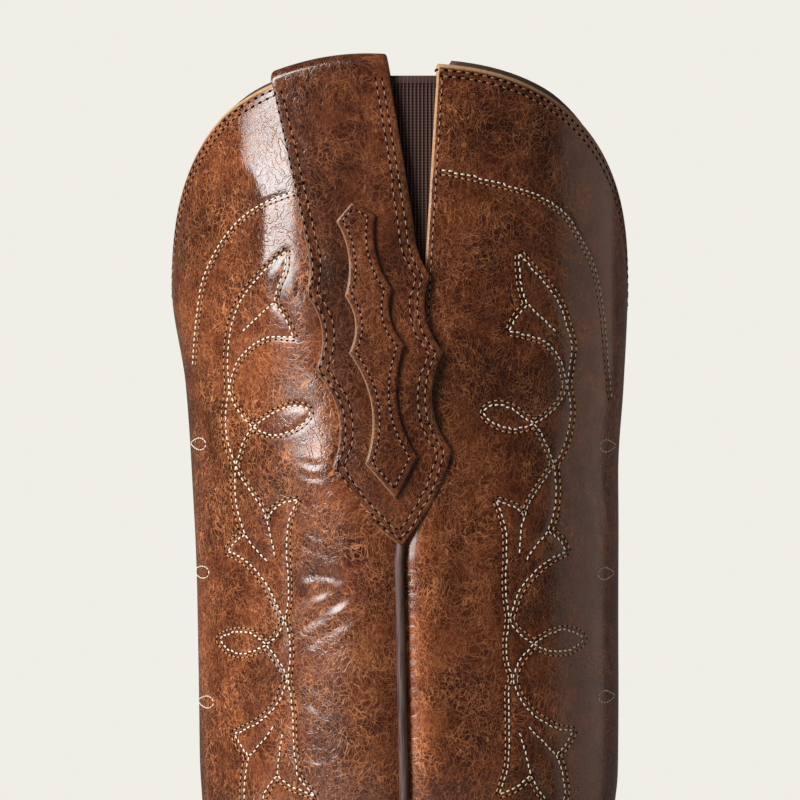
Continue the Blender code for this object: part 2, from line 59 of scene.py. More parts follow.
def new_finish(name):
    """A material with its node tree and its shader."""
    finish = bpy.data.materials.new(name)
    finish.use_nodes = True
    return finish, finish.node_tree, finish.node_tree.nodes["Principled BSDF"]


def put(tree, kind, inputs=(), **settings):
    """A node with its settings and inputs. An input is a value or another node's output."""
    made = tree.nodes.new(kind)
    for key, value in settings.items():
        setattr(made, key, value)
    for key, value in dict(inputs).items():
        if isinstance(value, bpy.types.NodeSocket):
            tree.links.new(value, made.inputs[key])
        else:
            made.inputs[key].default_value = value
    return made


def spread(tree, value, low, high, to_low, to_high):
    """A value stretched from one range to another and held there."""
    ends = {0: value, 1: low, 2: high, 3: to_low, 4: to_high}
    return put(tree, "ShaderNodeMapRange", ends).outputs[0]


def object_place(tree):
    """Places in the frame that the boot stands in."""
    return put(tree, "ShaderNodeTexCoord").outputs["Object"]


FLOOR_RADIUS = 1.6
FLOOR_RIM = (0.65, 1.5)
FLOOR_COLOUR = (0.5, 0.49, 0.46, 1)
form = bmesh.new()
bmesh.ops.create_circle(form, cap_ends=True, segments=64, radius=FLOOR_RADIUS)
mesh = bpy.data.meshes.new("floor")
form.to_mesh(mesh)
form.free()
floor_paint, tree, shader = new_finish("floor_paint")
shader.inputs["Base Color"].default_value = FLOOR_COLOUR
shader.inputs["Roughness"].default_value = 0.9
away = put(tree, "ShaderNodeVectorMath", {0: object_place(tree)}, operation="LENGTH").outputs["Value"]
past = spread(tree, away, *FLOOR_RIM, 0, 1)
air = put(tree, "ShaderNodeBsdfTransparent").outputs[0]
faded = put(tree, "ShaderNodeMixShader", {0: past, 1: shader.outputs[0], 2: air}).outputs[0]
tree.links.new(faded, tree.nodes["Material Output"].inputs["Surface"])
mesh.materials.append(floor_paint)
floor = add_to_scene("floor", mesh)

ROOM_COLOUR = (1.0, 0.97, 0.93, 1)
ROOM_STRENGTH = 0.08
studio = bpy.data.worlds.new("studio")
bpy.context.scene.world = studio
studio.use_nodes = True
sky = studio.node_tree
room = sky.nodes["Background"]
room.inputs["Color"].default_value = ROOM_COLOUR
room.inputs["Strength"].default_value = ROOM_STRENGTH
backdrop = put(sky, "ShaderNodeBackground", {"Color": BACKDROP}).outputs[0]
to_camera = put(sky, "ShaderNodeLightPath").outputs["Is Camera Ray"]
either = put(sky, "ShaderNodeMixShader", {0: to_camera, 1: room.outputs[0], 2: backdrop}).outputs[0]
sky.links.new(either, sky.nodes["World Output"].inputs["Surface"])


def add_softbox(name, bearing, height, away, wide, tall, power, tint=(1, 1, 1)):
    """A soft light turned to the shaft. bearing is in degrees from the camera, to the left below zero."""
    lamp = bpy.data.lights.new(name, "AREA")
    lamp.shape = "RECTANGLE"
    lamp.size = wide
    lamp.size_y = tall
    lamp.energy = power
    lamp.color = tint
    made = add_to_scene(name, lamp)
    turn = math.radians(bearing)
    made.location = SHAFT_MIDDLE + Vector((math.sin(turn) * away, -math.cos(turn) * away, height))
    made.rotation_mode = "QUATERNION"
    made.rotation_quaternion = (made.location - SHAFT_MIDDLE).to_track_quat("Z", "Y")


WARM = (1, 0.8, 0.68)
add_softbox("key_softbox", bearing=-48.5, height=0.755, away=1.7, wide=0.76, tall=1.7, power=76)
add_softbox("back_softbox", bearing=100, height=0.4, away=1.8, wide=1.6, tall=2.0, power=6, tint=WARM)

CAMERA_AWAY = 5.0
CAMERA_TILT = math.radians(1.0)
PICTURE_WIDTH = 0.254
lens = bpy.data.cameras.new("camera")
lens.sensor_width = 36
lens.lens = lens.sensor_width * CAMERA_AWAY / PICTURE_WIDTH
camera = add_to_scene("camera", lens)
back_off = Vector((0, -math.cos(CAMERA_TILT), math.sin(CAMERA_TILT)))
camera.location = SHAFT_MIDDLE + back_off * CAMERA_AWAY
camera.rotation_mode = "QUATERNION"
camera.rotation_quaternion = back_off.to_track_quat("Z", "Y")
bpy.context.scene.camera = camera
bpy.context.scene.view_settings.view_transform = "Standard"

# Lining. Thin smooth leather inside the whole boot, from the toe up to the collar, where its cut edge stands
# just above the panels. The boot's wall is measured here: sections from the toe up to the collar, each with
# its front x and z, back x and z, half width, sole edge, level, swing and sharpness.
SECTION_ROWS = (
    (-214, 20.41, -214, 20.41, 0, 0, 0.4, 4, 1),
    (-213, 26.5, -213, 20.04, 6.2, 5.6, 0.4, 4, 1),
    (-210, 32, -210, 18.96, 12, 11, 0.38, 3.8, 1),
    (-204, 38, -204, 17.1, 18.2, 16.8, 0.36, 3.6, 1),
    (-194, 45, -194, 14.61, 24.8, 23, 0.34, 3.2, 1),
    (-178, 53, -178, 11.49, 32.6, 30.8, 0.32, 2.6, 1),
    (-152, 65, -152, 9.04, 41.8, 40.2, 0.3, 1.4, 1),
    (-124, 80, -124, 8.6, 46.5, 45, 0.28, -0.4, 1),
    (-98, 99, -92, 11.44, 44, 40, 0.3, -2, 1),
    (-78, 119, -56, 23.51, 40, 31, 0.34, -2.8, 1),
    (-67, 138, -18, 37.45, 37.5, 27.5, 0.36, -2, 1),
    (-63, 149, 14, 45.89, 36, 29, 0.32, -0.8, 1),
    (-61.5, 155, 38, 49.03, 35, 29, 0.28, 0, 1),
    (-61, 159, 54, 50.13, 34.5, 23, 0.25, 0, 1),
    (-61, 162, 61.5, 50.53, 34, 13.5, 0.23, 0, 1),
    (-61, 164, 64, 50.66, 34, 0, 0.23, 0, 1),
    (-61, 168, 67.5, 72, 35.5, 0, 0.27, 0, 1),
    (-61.3, 173, 65, 98, 38, 0, 0.33, 0, 1),
    (-61.8, 178, 61, 124, 41.5, 0, 0.4, 0, 1.02),
    (-62.4, 184, 63, 152, 45.5, 0, 0.46, 0, 1.05),
    (-63, 192, 68, 184, 49.3, 0, 0.5, 0, 1.08),
    (-63.5, 200, 69.3, 200, 50.3, 0, 0.5, 0, 1.1),
    (-64.3, 245, 69.3, 245, 51.7, 0, 0.5, 0, 1.12),
    (-65.2, 290, 69.2, 290, 52.5, 0, 0.5, 0, 1.12),
    (-67.5, 320, 71, 320, 53.2, 0, 0.5, 0, 1.12),
    (-72.2, 352, 72.2, 352, 54, 0, 0.5, 0, 1.12),
    (-72.3, 388, 72.3, 388, 54.6, 0, 0.5, 0, 1.12),
    (-72.3, 430, 72.3, 430, 55.2, 0, 0.5, 0, 1.12),
)
LAST_FOOT_ROW = 15
FIRST_LEVEL_ROW = 21
LAST_ROW = 27
QUARTER = math.pi / 2
SHAFT_TOP = 422
COLLAR_DIP = 69.5
COLLAR_ROUNDNESS = 2.55
COLLAR_BASE = 334
NOTCH_POINT = (6, 326)
NOTCH_TOP_Z = 432
NOTCH_FRONT_X = -11.5
NOTCH_BACK_X = 12.4


def line_through(places, values):
    """A smooth line through values at rising places, level beyond its ends and with no overshoot."""
    places = np.array(places, float)
    values = np.array(values, float)
    rises = np.diff(values) / np.diff(places)
    slopes = np.concatenate([rises[:1], np.zeros(len(rises) - 1), rises[-1:]])
    both = rises[:-1] * rises[1:]
    same = both > 0
    slopes[1:-1][same] = 2 * both[same] / (rises[:-1] + rises[1:])[same]

    def at(place):
        place = np.clip(place, places[0], places[-1])
        low = np.clip(np.searchsorted(places, place, side="right") - 1, 0, len(places) - 2)
        width = places[low + 1] - places[low]
        t = (place - places[low]) / width
        ends = (1 + 2 * t) * (1 - t) ** 2 * values[low] + t * t * (3 - 2 * t) * values[low + 1]
        return ends + width * (t * (1 - t) ** 2 * slopes[low] + t * t * (t - 1) * slopes[low + 1])

    return at


SECTION_LINES = [line_through(range(LAST_ROW + 1), column) for column in zip(*SECTION_ROWS)]
FOOT_ROWS = SECTION_ROWS[: LAST_FOOT_ROW + 1]
SECTION_LINES[5] = line_through(range(len(FOOT_ROWS)), [row[5] for row in FOOT_ROWS])


def section(row):
    """The nine measures of the sections at rows."""
    return [line(row) for line in SECTION_LINES]


def foot_angle(half, edge, sharp):
    """The angle at which a section's round ends on the sole's edge."""
    return np.arcsin(np.minimum(edge / np.maximum(half, 0.001), 0.985) ** (1 / sharp))


def wall(row, turn):
    """Points of the outer face. turn is 0 on the front line, below zero on the outer side."""
    front_x, front_z, back_x, back_z, half, edge, level, swing, sharp = section(row)
    foot = foot_angle(half, edge, sharp)
    swung = np.abs(turn)
    low = QUARTER - (swung - QUARTER) * (QUARTER - foot) / QUARTER
    high_share = level + (1 - level) * np.cos(swung)
    low_share = level * (1 - np.cos(low) / np.cos(foot))
    share = np.where(swung <= QUARTER, high_share, low_share)
    reach = half * np.abs(np.sin(np.where(swung <= QUARTER, swung, low))) ** sharp
    x = back_x + share * (front_x - back_x)
    z = back_z + share * (front_z - back_z)
    return np.stack([x, swing + np.copysign(reach, turn), z], axis=-1)


def wall_normal(row, turn):
    """Outward directions of the wall."""
    probe = 0.001
    up = wall(np.minimum(row + probe, LAST_ROW), turn) - wall(np.maximum(row - probe, 0), turn)
    along = wall(row, np.minimum(turn + probe, math.pi)) - wall(row, np.maximum(turn - probe, -math.pi))
    normal = np.cross(up, along)
    on_back = (row > LAST_FOOT_ROW) & (math.pi - np.abs(turn) < probe)
    normal[..., 1] = np.where(on_back, 0, normal[..., 1])
    length = np.linalg.norm(normal, axis=-1, keepdims=True)
    return np.where(length > 1e-12, normal / np.maximum(length, 1e-12), (-1.0, 0.0, 0.0))


def off_wall(row, turn, lift):
    """Points at a distance off the outer face."""
    lift = np.broadcast_to(lift, np.broadcast(row, turn).shape)
    return wall(row, turn) + lift[..., None] * wall_normal(row, turn)


LEVEL_ROWS = np.linspace(FIRST_LEVEL_ROW, LAST_ROW, 1201)
LEVEL_HEIGHTS = SECTION_LINES[1](LEVEL_ROWS)


def row_at(z):
    """The level row of the shaft at heights."""
    return np.interp(z, LEVEL_HEIGHTS, LEVEL_ROWS)


def collar_height(turn):
    """The collar falls to a dip at the front and at the back."""
    fall = (1 - np.abs(np.cos(turn)) ** COLLAR_ROUNDNESS) ** (1 / COLLAR_ROUNDNESS)
    return SHAFT_TOP - COLLAR_DIP * (1 - fall)


def to_frame(points):
    """Points of the boot, in millimetres from its side seam, as metres of the frame."""
    return (points + (SEAM_X, 0, 0)) * MM


def sheet(points):
    """A skin: a flat grid with every corner moved to its place."""
    high, wide = points.shape[:2]
    form = bmesh.new()
    bmesh.ops.create_grid(form, x_segments=wide - 1, y_segments=high - 1, size=1)
    for corner, place in zip(form.verts, to_frame(points.reshape(-1, 3))):
        corner.co = place
    form.normal_update()
    return form


def merge_corners(form):
    """Makes one corner of those that share a place."""
    bmesh.ops.remove_doubles(form, verts=form.verts, dist=1e-6)


def add_piece(name, form, finish):
    """A smooth piece that rides on the boot."""
    mesh = bpy.data.meshes.new(name)
    form.to_mesh(mesh)
    form.free()
    mesh.shade_smooth()
    mesh.materials.append(finish)
    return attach(add_to_scene(name, mesh), "root")


def thicken(piece, thickness):
    """Gives a skin its thickness in millimetres, inwards."""
    wall_maker = piece.modifiers.new("thickness", "SOLIDIFY")
    wall_maker.thickness = thickness * MM
    wall_maker.offset = -1
    wall_maker.use_even_offset = False


def reckon(tree, operation, *values):
    """A sum on one or two values."""
    return put(tree, "ShaderNodeMath", dict(enumerate(values)), operation=operation).outputs[0]


def blend_colours(tree, factor, low, high):
    """One colour turning to another by a factor."""
    return put(tree, "ShaderNodeMix", {0: factor, 6: low, 7: high}, data_type="RGBA").outputs[2]


def tinted(tree, value, low, high, dark, light):
    """A dark colour where a value is low, turning to a light one where it is high."""
    return blend_colours(tree, spread(tree, value, low, high, 0, 1), dark, light)


def speckled(tree, vector, scale, detail):
    """Soft noise over places."""
    return put(tree, "ShaderNodeTexNoise", {"Vector": vector, "Scale": scale, "Detail": detail}).outputs[0]


def emboss(tree, shader, height, strength, depth):
    """Relief by a height, of a depth in metres. Returns the normals that it gives the shader."""
    bump = put(tree, "ShaderNodeBump", {"Height": height, "Strength": strength, "Distance": depth})
    tree.links.new(bump.outputs[0], shader.inputs["Normal"])
    return bump.outputs[0]


lining_leather, tree, shader = new_finish("lining_leather")
place = object_place(tree)
clouds = speckled(tree, place, 60.0, 4.0)
pores = speckled(tree, place, 1400.0, 2.0)
colour = tinted(tree, clouds, 0.35, 0.65, (0.035, 0.018, 0.012, 1), (0.06, 0.032, 0.02, 1))
tree.links.new(colour, shader.inputs["Base Color"])
emboss(tree, shader, pores, 0.4, 0.0002)
shader.inputs["Roughness"].default_value = 0.62

LINING_FACE = -1.25
LINING_THICK = 0.95
LINING_FAR_SHOW = 0.7
LINING_NEAR_SHOW = 1.3
LINING_NOTCH_DROP = 5.5
LINING_NOTCH_BACK = 0.55
COLLAR_REACH = 72.3
NOTCH_LEVEL = 418.0
RIM_LEVEL = 400.0

turns = np.linspace(math.pi, -math.pi, 137)
notch_x = wall(row_at(np.full_like(turns, NOTCH_LEVEL)), turns)[:, 0]
in_notch = np.clip(np.minimum(notch_x - NOTCH_FRONT_X + 3, NOTCH_BACK_X + 3 - notch_x) / 2, 0, 1)
lining_x = off_wall(row_at(np.full_like(turns, RIM_LEVEL)), turns, -1.5)[:, 0]
seen_edge = collar_height(np.arccos(np.clip(-lining_x / COLLAR_REACH, -1, 1)))
seen_edge = seen_edge + np.where(turns > -QUARTER, LINING_FAR_SHOW, LINING_NEAR_SHOW)
sideways = np.clip((np.abs(np.sin(turns)) - 0.5) / 0.25, 0, 1)
lining_top = collar_height(turns) + sideways * (seen_edge - collar_height(turns))
lining_top = lining_top - in_notch * LINING_NOTCH_DROP
low_rows = np.concatenate([np.linspace(0.6, FIRST_LEVEL_ROW, 84), row_at(np.arange(206, COLLAR_BASE, 6))])
rows = [np.full_like(turns, row) for row in low_rows]
for share in np.linspace(0, 1, 22):
    rows.append(row_at(COLLAR_BASE + share * (lining_top - COLLAR_BASE)))
behind = LINING_NOTCH_BACK * in_notch
grid = np.stack([off_wall(row, turns, LINING_FACE - behind * np.clip(row - 23, 0, 1)) for row in rows])
form = sheet(grid)
merge_corners(form)
lining = add_piece("lining", form, lining_leather)
thicken(lining, LINING_THICK)
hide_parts("upper")

# Front panel of the shaft: waxed, crackled brown leather that runs round the front from side seam to side
# seam and down under the vamp. Its edges are cut raw at the collar and beside the gores.
PIPING_POINTS = ((-0.2, 266), (1.3, 190), (3.5, 140), (5.5, 100), (7, 53.5))
# Creases and folds have a depth or a height, a width and a run of points (x, z) of the side view. Swells, and
# the blobs of painted light and shade, have an amount, a middle and their reaches. A row of the scroll has
# the hand of the tan row beside it, or 0 for none, and its run.
FRONT_CREASES = (
    (0.14, 0.70, ((-53.5, 396.5), (-50.0, 388.5), (-46.6, 381.0))),
    (0.14, 0.70, ((-51.5, 390.0), (-48.0, 382.5), (-45.4, 376.0))),
    (0.10, 1.46, ((-32.7, 357.8), (-31.1, 352.2), (-31.7, 345.9))),
    (0.11, 1.30, ((-29.5, 355.9), (-27.6, 350.9), (-28.6, 344.6))),
    (0.13, 1.13, ((-29.8, 296.9), (-26.4, 295.7), (-22.6, 296.3))),
    (0.10, 1.13, ((-30.1, 293.1), (-26.1, 291.6), (-22.3, 292.5))),
    (0.10, 1.13, ((-30.1, 289.1), (-26.4, 287.2), (-22.0, 287.5))),
    (0.13, 1.03, ((-28.9, 285.6), (-25.1, 284.0), (-21.0, 284.0))),
    (0.15, 1.73, ((-33.3, 278.1), (-27.6, 274.3), (-21.4, 271.2), (-15.1, 268.3))),
    (0.10, 1.38, ((-32.3, 273.1), (-27.0, 269.9), (-22.0, 267.7), (-17.3, 265.5))),
    (0.15, 1.73, ((-33.9, 260.2), (-28.3, 261.1), (-22.0, 260.8), (-15.7, 259.9))),
    (0.11, 1.70, ((-33.9, 250.8), (-28.9, 253.6), (-24.5, 255.5), (-19.8, 258.0))),
    (0.13, 1.80, ((-31.4, 243.2), (-25.7, 247.9), (-19.5, 252.3), (-11.9, 257.4))),
    (0.11, 1.80, ((-25.7, 239.1), (-20.1, 244.2), (-15.1, 247.9), (-9.7, 251.7))),
    (0.13, 1.38, ((-31.4, 236.6), (-27.6, 239.8), (-24.5, 242.9))),
    (0.11, 1.21, ((-46.5, 301.9), (-41.4, 295.0), (-34.5, 285.9))),
    (0.11, 1.21, ((-48.4, 298.2), (-44.0, 291.3), (-38.3, 284.0))),
    (0.09, 1.03, ((-43.3, 303.2), (-38.3, 296.9), (-32.0, 289.4))),
    (0.11, 1.30, ((-31.4, 221.9), (-27.6, 220.3), (-23.2, 216.5))),
    (0.09, 1.13, ((-31.4, 204.0), (-25.7, 202.7), (-19.5, 204.0))),
    (0.09, 1.03, ((-30.8, 198.9), (-26.4, 197.4), (-22.0, 198.3))),
)
FRONT_FOLDS = (
    (1.6, 9.0, ((-51.1, 404.0), (-50.5, 398.7), (-49.2, 391.3), (-45.4, 385.6), (-42.2, 378.0),
                (-41.9, 366.9), (-42.2, 358.3))),
)
FRONT_SWELLS = ((2.4, -33.0, 297.0, 32.0, 46.0, 22.0),)
# Painted light and shade on the front panel: above zero the colour is painted paler, as where more light
# falls, and below zero darker, as in shade.
FRONT_PAINTED_LIGHT = (
    (0.28, -62.0, 235.0, 11.0, 70.0),
    (-0.2, -9.0, 232.0, 9.0, 34.0),
    (-0.15, -12.0, 190.0, 12.0, 20.0),
    (0.12, -44.0, 330.0, 8.0, 26.0),
    (-0.2, -60.0, 362.0, 12.0, 26.0),
    (-0.12, -40.0, 235.0, 9.0, 24.0),
)
FRONT_SCROLL = (
    (1, ((-25.7, 383.6), (-33.6, 381.4), (-42.1, 377.9), (-49.6, 373.2), (-55.6, 366.6), (-59.3, 360.3),
         (-62.2, 353.1), (-63.7, 344.3), (-64.7, 334.6), (-65.3, 326.4))),
    (-1, ((-35.2, 362.9), (-39.3, 359.1), (-44.9, 353.4), (-49.3, 347.8), (-51.8, 342.1), (-53.1, 336.5),
          (-53.7, 328.9), (-53.4, 323.3), (-53.1, 318.9))),
    (1, ((-35.2, 362.9), (-35.6, 357.0), (-37.6, 351.9), (-38.8, 346.8))),
    (0, ((-38.8, 346.8), (-43.3, 342.9), (-49.1, 337.5))),
    (1, ((-38.8, 346.8), (-35.6, 342.3), (-32.8, 335.9))),
    (1, ((-32.8, 335.9), (-39.5, 336.0), (-44.6, 334.0), (-48.0, 331.1), (-50.7, 327.7), (-52.4, 322.7),
         (-53.1, 318.9))),
    (-1, ((-53.1, 318.9), (-54.0, 312.9), (-53.9, 306.3), (-52.8, 300.9), (-50.7, 295.3))),
    (1, ((-53.1, 318.9), (-51.3, 314.7), (-48.9, 311.1), (-45.3, 307.4))),
    (-1, ((-45.3, 307.4), (-41.7, 305.7), (-38.1, 305.1), (-33.9, 306.0), (-30.3, 308.1), (-27.6, 311.1),
          (-28.5, 313.5), (-32.1, 314.4), (-36.9, 312.9), (-41.7, 309.9), (-45.3, 307.4))),
    (1, ((-45.3, 307.4), (-48.0, 303.3), (-49.5, 298.5), (-50.7, 295.3))),
    (1, ((-50.7, 295.3), (-48.9, 291.3), (-45.3, 285.9), (-42.6, 281.7), (-41.4, 278.1))),
    (-1, ((-50.7, 295.3), (-51.0, 290.1), (-51.0, 283.5), (-49.8, 277.5), (-48.6, 273.3))),
    (1, ((-41.4, 278.1), (-39.3, 281.1), (-35.7, 283.7), (-31.1, 284.8))),
    (1, ((-31.1, 284.8), (-33.9, 279.3), (-35.1, 273.3), (-35.4, 266.0), (-35.1, 258.9), (-35.2, 252.3),
         (-36.4, 246.4))),
    (0, ((-41.4, 278.1), (-40.5, 273.3), (-39.3, 266.6))),
    (-1, ((-48.6, 273.3), (-51.9, 270.9), (-54.3, 267.9))),
    (-1, ((-54.3, 267.9), (-49.5, 265.5), (-45.3, 261.8), (-41.7, 257.0), (-39.3, 252.2), (-36.4, 246.4))),
    (0, ((-48.6, 273.3), (-45.9, 269.1), (-41.7, 264.9))),
    (-1, ((-36.4, 246.4), (-38.9, 241.3), (-42.2, 238.7))),
    (1, ((-42.2, 238.7), (-46.2, 236.6), (-49.8, 235.7), (-53.5, 236.3), (-55.6, 237.9), (-56.9, 240.0),
         (-55.0, 241.3), (-51.9, 242.3), (-48.3, 242.3), (-45.7, 241.3), (-42.2, 238.7))),
    (-1, ((-42.2, 238.7), (-39.4, 235.1), (-36.8, 231.4), (-35.3, 228.1))),
    (1, ((-36.4, 246.4), (-35.3, 243.9), (-34.5, 238.7), (-34.6, 234.0), (-35.3, 228.1))),
    (-1, ((-35.3, 228.1), (-36.8, 224.6), (-38.1, 221.0), (-41.5, 216.8), (-46.2, 213.2), (-52.4, 210.0))),
    (-1, ((-52.4, 210.0), (-50.4, 206.4), (-48.0, 203.3))),
    (-1, ((-48.0, 203.3), (-49.1, 197.0), (-49.3, 189.5), (-48.0, 181.0), (-45.2, 173.2), (-41.8, 166.3))),
    (0, ((-48.0, 203.3), (-44.1, 207.4), (-39.9, 212.9))),
    (1, ((-35.3, 228.1), (-34.2, 222.5), (-33.8, 217.8), (-33.7, 213.2), (-33.4, 206.9), (-32.7, 201.7),
         (-31.6, 197.0), (-26.4, 191.3))),
    (1, ((-26.4, 191.3), (-30.6, 192.9), (-34.2, 194.1), (-38.9, 197.5))),
    (1, ((-38.9, 197.5), (-41.5, 193.9), (-43.6, 189.5), (-44.9, 182.0), (-44.0, 173.2), (-41.8, 166.3))),
    (0, ((-38.9, 197.5), (-38.1, 204.8), (-37.1, 210.8))),
)
FRONT_DROPS = ((-62.5, 301.6), (-62.5, 260.8), (-61.2, 219.7))


def edge_line(points):
    """x at heights along the straight runs between points (x, z) of the side view."""
    xs, zs = zip(*sorted(points, key=lambda point: point[1]))
    return lambda z: np.interp(z, zs, xs)


notch_front = edge_line(((NOTCH_FRONT_X, NOTCH_TOP_Z), NOTCH_POINT, *PIPING_POINTS))


def edge_turn(rows_at, line, count):
    """The turns at which rows meet a line x(z) of the side view."""
    low = np.zeros((count, 1))
    high = np.full((count, 1), math.pi)
    for _ in range(32):
        middle = (low + high) / 2
        spots = wall(rows_at(middle), middle)
        before = spots[..., 0] < line(spots[..., 2])
        low, high = np.where(before, middle, low), np.where(before, high, middle)
    return low


PANEL_THICK = 0.9
PANEL_REACH = 95
PANEL_LOW_ROWS = 48
PANEL_CLOSE_SHARE = 0.64
PANEL_COLUMNS = {-1: (76, 17), 1: (36, 12)}


def panel_rows(first_row):
    """The rows of a panel from its foot to the collar: their number, and the rule that gives them."""
    foot = np.linspace(first_row, FIRST_LEVEL_ROW, PANEL_LOW_ROWS)
    low = np.concatenate([foot, row_at(np.arange(201, 333.8, 1.0))])
    shares = np.linspace(0, 1, 86)[:, None]
    insets = np.array([0.75, 0.55, 0.25, 0])[:, None]
    collar = len(low) + len(shares)

    def rows_at(turn):
        level = np.broadcast_to(low[:, None], turn[: len(low)].shape)
        rise = collar_height(turn[len(low) : collar]) - 1.3 - COLLAR_BASE
        edge = collar_height(turn[collar:]) - insets
        return np.concatenate([level, row_at(COLLAR_BASE + shares * rise), row_at(edge)])

    return collar + len(insets), rows_at


def panel_halves(first_row, line, middle):
    """Side, rows and turns of a panel's halves, from the side edge to the middle of the front or the back."""
    count, rows_at = panel_rows(first_row)
    start = edge_turn(rows_at, line, count)
    near = np.array([0, 0.25, 0.55, 0.75, 1.4]) / PANEL_REACH
    halves = []
    for side, (close_count, far_count) in PANEL_COLUMNS.items():
        close = np.linspace(2.4 / PANEL_REACH, PANEL_CLOSE_SHARE, close_count, endpoint=False)
        far = np.linspace(PANEL_CLOSE_SHARE, 1, far_count)
        turn = start + (middle - start) * np.concatenate([near, close, far])
        halves.append((side, rows_at(turn), side * turn))
    return halves


def smooth_line(points, step):
    """A smooth run through points of the side view, at about a step apart."""
    points = np.array(points, float)
    padded = np.concatenate([2 * points[:1] - points[1:2], points, 2 * points[-1:] - points[-2:-1]])
    run = []
    for a, b, c, d in zip(padded, padded[1:], padded[2:], padded[3:]):
        count = max(int(np.linalg.norm(c - b) / step), 1)
        t = np.arange(count)[:, None] / count
        bend = 2 * a - 5 * b + 4 * c - d
        twist = 3 * b - a - 3 * c + d
        run.append(0.5 * (2 * b + (c - a) * t + bend * t**2 + twist * t**3))
    return np.concatenate([*run, points[-1:]])


def fade(value, low, high):
    """0 below low, 1 above high, and smooth between."""
    t = np.clip((value - low) / (high - low), 0, 1)
    return t * t * (3 - 2 * t)


def noise_over(x, z, scale, layer):
    """Smooth noise over places of the side view. Each layer is another pattern."""
    found = [noise.noise((scale * px, layer, scale * pz)) for px, pz in zip(x.flat, z.flat)]
    return np.array(found).reshape(x.shape)


def off_line(x, z, line):
    """Distances of places from a run of the side view, and the shares of it that they are nearest to."""
    away = np.full_like(x, 99.0)
    along = np.zeros_like(x)
    for count, (one, other) in enumerate(zip(line, line[1:])):
        run = other - one
        t = np.clip(((x - one[0]) * run[0] + (z - one[1]) * run[1]) / (run @ run), 0, 1)
        gap = np.hypot(x - one[0] - t * run[0], z - one[1] - t * run[1])
        along = np.where(gap < away, (count + t) / (len(line) - 1), along)
        away = np.minimum(away, gap)
    return away, along


def creases_at(x, z, creases):
    """Height of the creases over places of the side view: a soft trough with a low ridge on each side."""
    height = np.zeros_like(x)
    sway = 0.7 * noise_over(x, z, 0.3, 7.0)
    uneven = np.clip(1 + 1.5 * noise_over(x, z, 0.21, 1.7), 0.15, 2)
    for deep, wide, points in creases:
        away, along = off_line(x, z, smooth_line(points, 1.5))
        away = np.abs(away + sway)
        strength = deep * np.sin(math.pi * np.clip(along, 0.06, 0.94)) ** 0.6 * uneven
        ridge = 0.6 * np.exp(-(((away - 1.7 * wide) / (0.9 * wide)) ** 2))
        height += strength * (ridge - np.exp(-((away / wide) ** 2)))
    return height


def folds_at(x, z, folds):
    """Height of the long soft folds: a crest with a slow fall on each side, slower low on the right."""
    height = np.zeros_like(x)
    for high, wide, points in folds:
        line = smooth_line(points, 1.5)
        away, _ = off_line(x, z, line)
        right = fade(x - np.interp(z, line[::-1, 1], line[::-1, 0]), -2, 2) * (1 - fade(z, 372, 390))
        height += high * np.exp(-(np.hypot(away, 1.0) - 1.0) / (wide * (1 + right)))
    return height


def swells_at(x, z, swells):
    """Height of the broad swells: each has its middle, its reach to the sides and its reaches up and down."""
    height = np.zeros_like(x)
    for high, middle_x, middle_z, wide, up, down in swells:
        tall = np.where(z > middle_z, up, down)
        height += high * np.exp(-(((x - middle_x) / wide) ** 2) - ((z - middle_z) / tall) ** 2)
    return height


def painted_light_and_tone_at(x, z, light_and_tone_blobs):
    """How much paler the leather's colour is painted over places of the side view, below zero where it is
    darker: painted light and shade on the panels, darker patches on the strap.
    """
    paler = np.zeros_like(x)
    for amount, middle_x, middle_z, wide, tall in light_and_tone_blobs:
        paler += amount * np.exp(-(((x - middle_x) / wide) ** 2) - ((z - middle_z) / tall) ** 2)
    return paler


SEAM_HEIGHTS = (120, 185)
SHAFT_HEIGHTS = (150, 190)


def seam_dip(away, z):
    """The panel swells beside the side seam and dips into it."""
    swell = 1.7 * fade(away, 0, 9) * (1 - fade(away, 14, 44))
    return (swell - 0.9 * np.exp(-((away / 3.4) ** 2))) * fade(z, *SEAM_HEIGHTS) * (1 - fade(z, 285, 318))


STRAP_TOP = (-22.4, 422.1)
STRAP_LEAN = math.radians(8.55)
STRAP_BOW = 2.0
STRAP_HALF = 18.2
STRAP_LONG = 153.2
STRAP_EDGE = (
    (0, STRAP_HALF, 0), (55, 16.9, 1.2), (70.8, 19.4, 3.55),
    (95.1, 20, 4.7), (126, 18.6, -2.6), (STRAP_LONG, 0.5, 0),
)


def scalloped(edge, down):
    """Half width of a scalloped outline at distances down it."""
    half = np.full_like(down, edge[-1][1], dtype=float)
    for one, other in zip(edge, edge[1:]):
        u = (down - one[0]) / (other[0] - one[0])
        here = one[1] + u * (other[1] - one[1]) - 4 * one[2] * u * (1 - u)
        half = np.where((u >= 0) & (u < 1), here, half)
    return half


def beside_strap(x, z):
    """Distances outside the pull strap's outline, below zero under it."""
    dx, dz = x - STRAP_TOP[0], STRAP_TOP[1] - z
    down = dz * math.cos(STRAP_LEAN) + dx * math.sin(STRAP_LEAN)
    across = dx * math.cos(STRAP_LEAN) - dz * math.sin(STRAP_LEAN)
    across = across - STRAP_BOW * np.sin(math.pi * np.clip(down / STRAP_LONG, 0, 1))
    tip = math.floor(STRAP_LONG)
    return np.maximum(np.abs(across) - scalloped(STRAP_EDGE, np.clip(down, 0, tip)), down - tip)


STITCH_DIP = 0.28
RAW_EDGE_DIP = 0.4
RAW_EDGE_WIDE = 1.1
SLOW_WAVES = 0.36


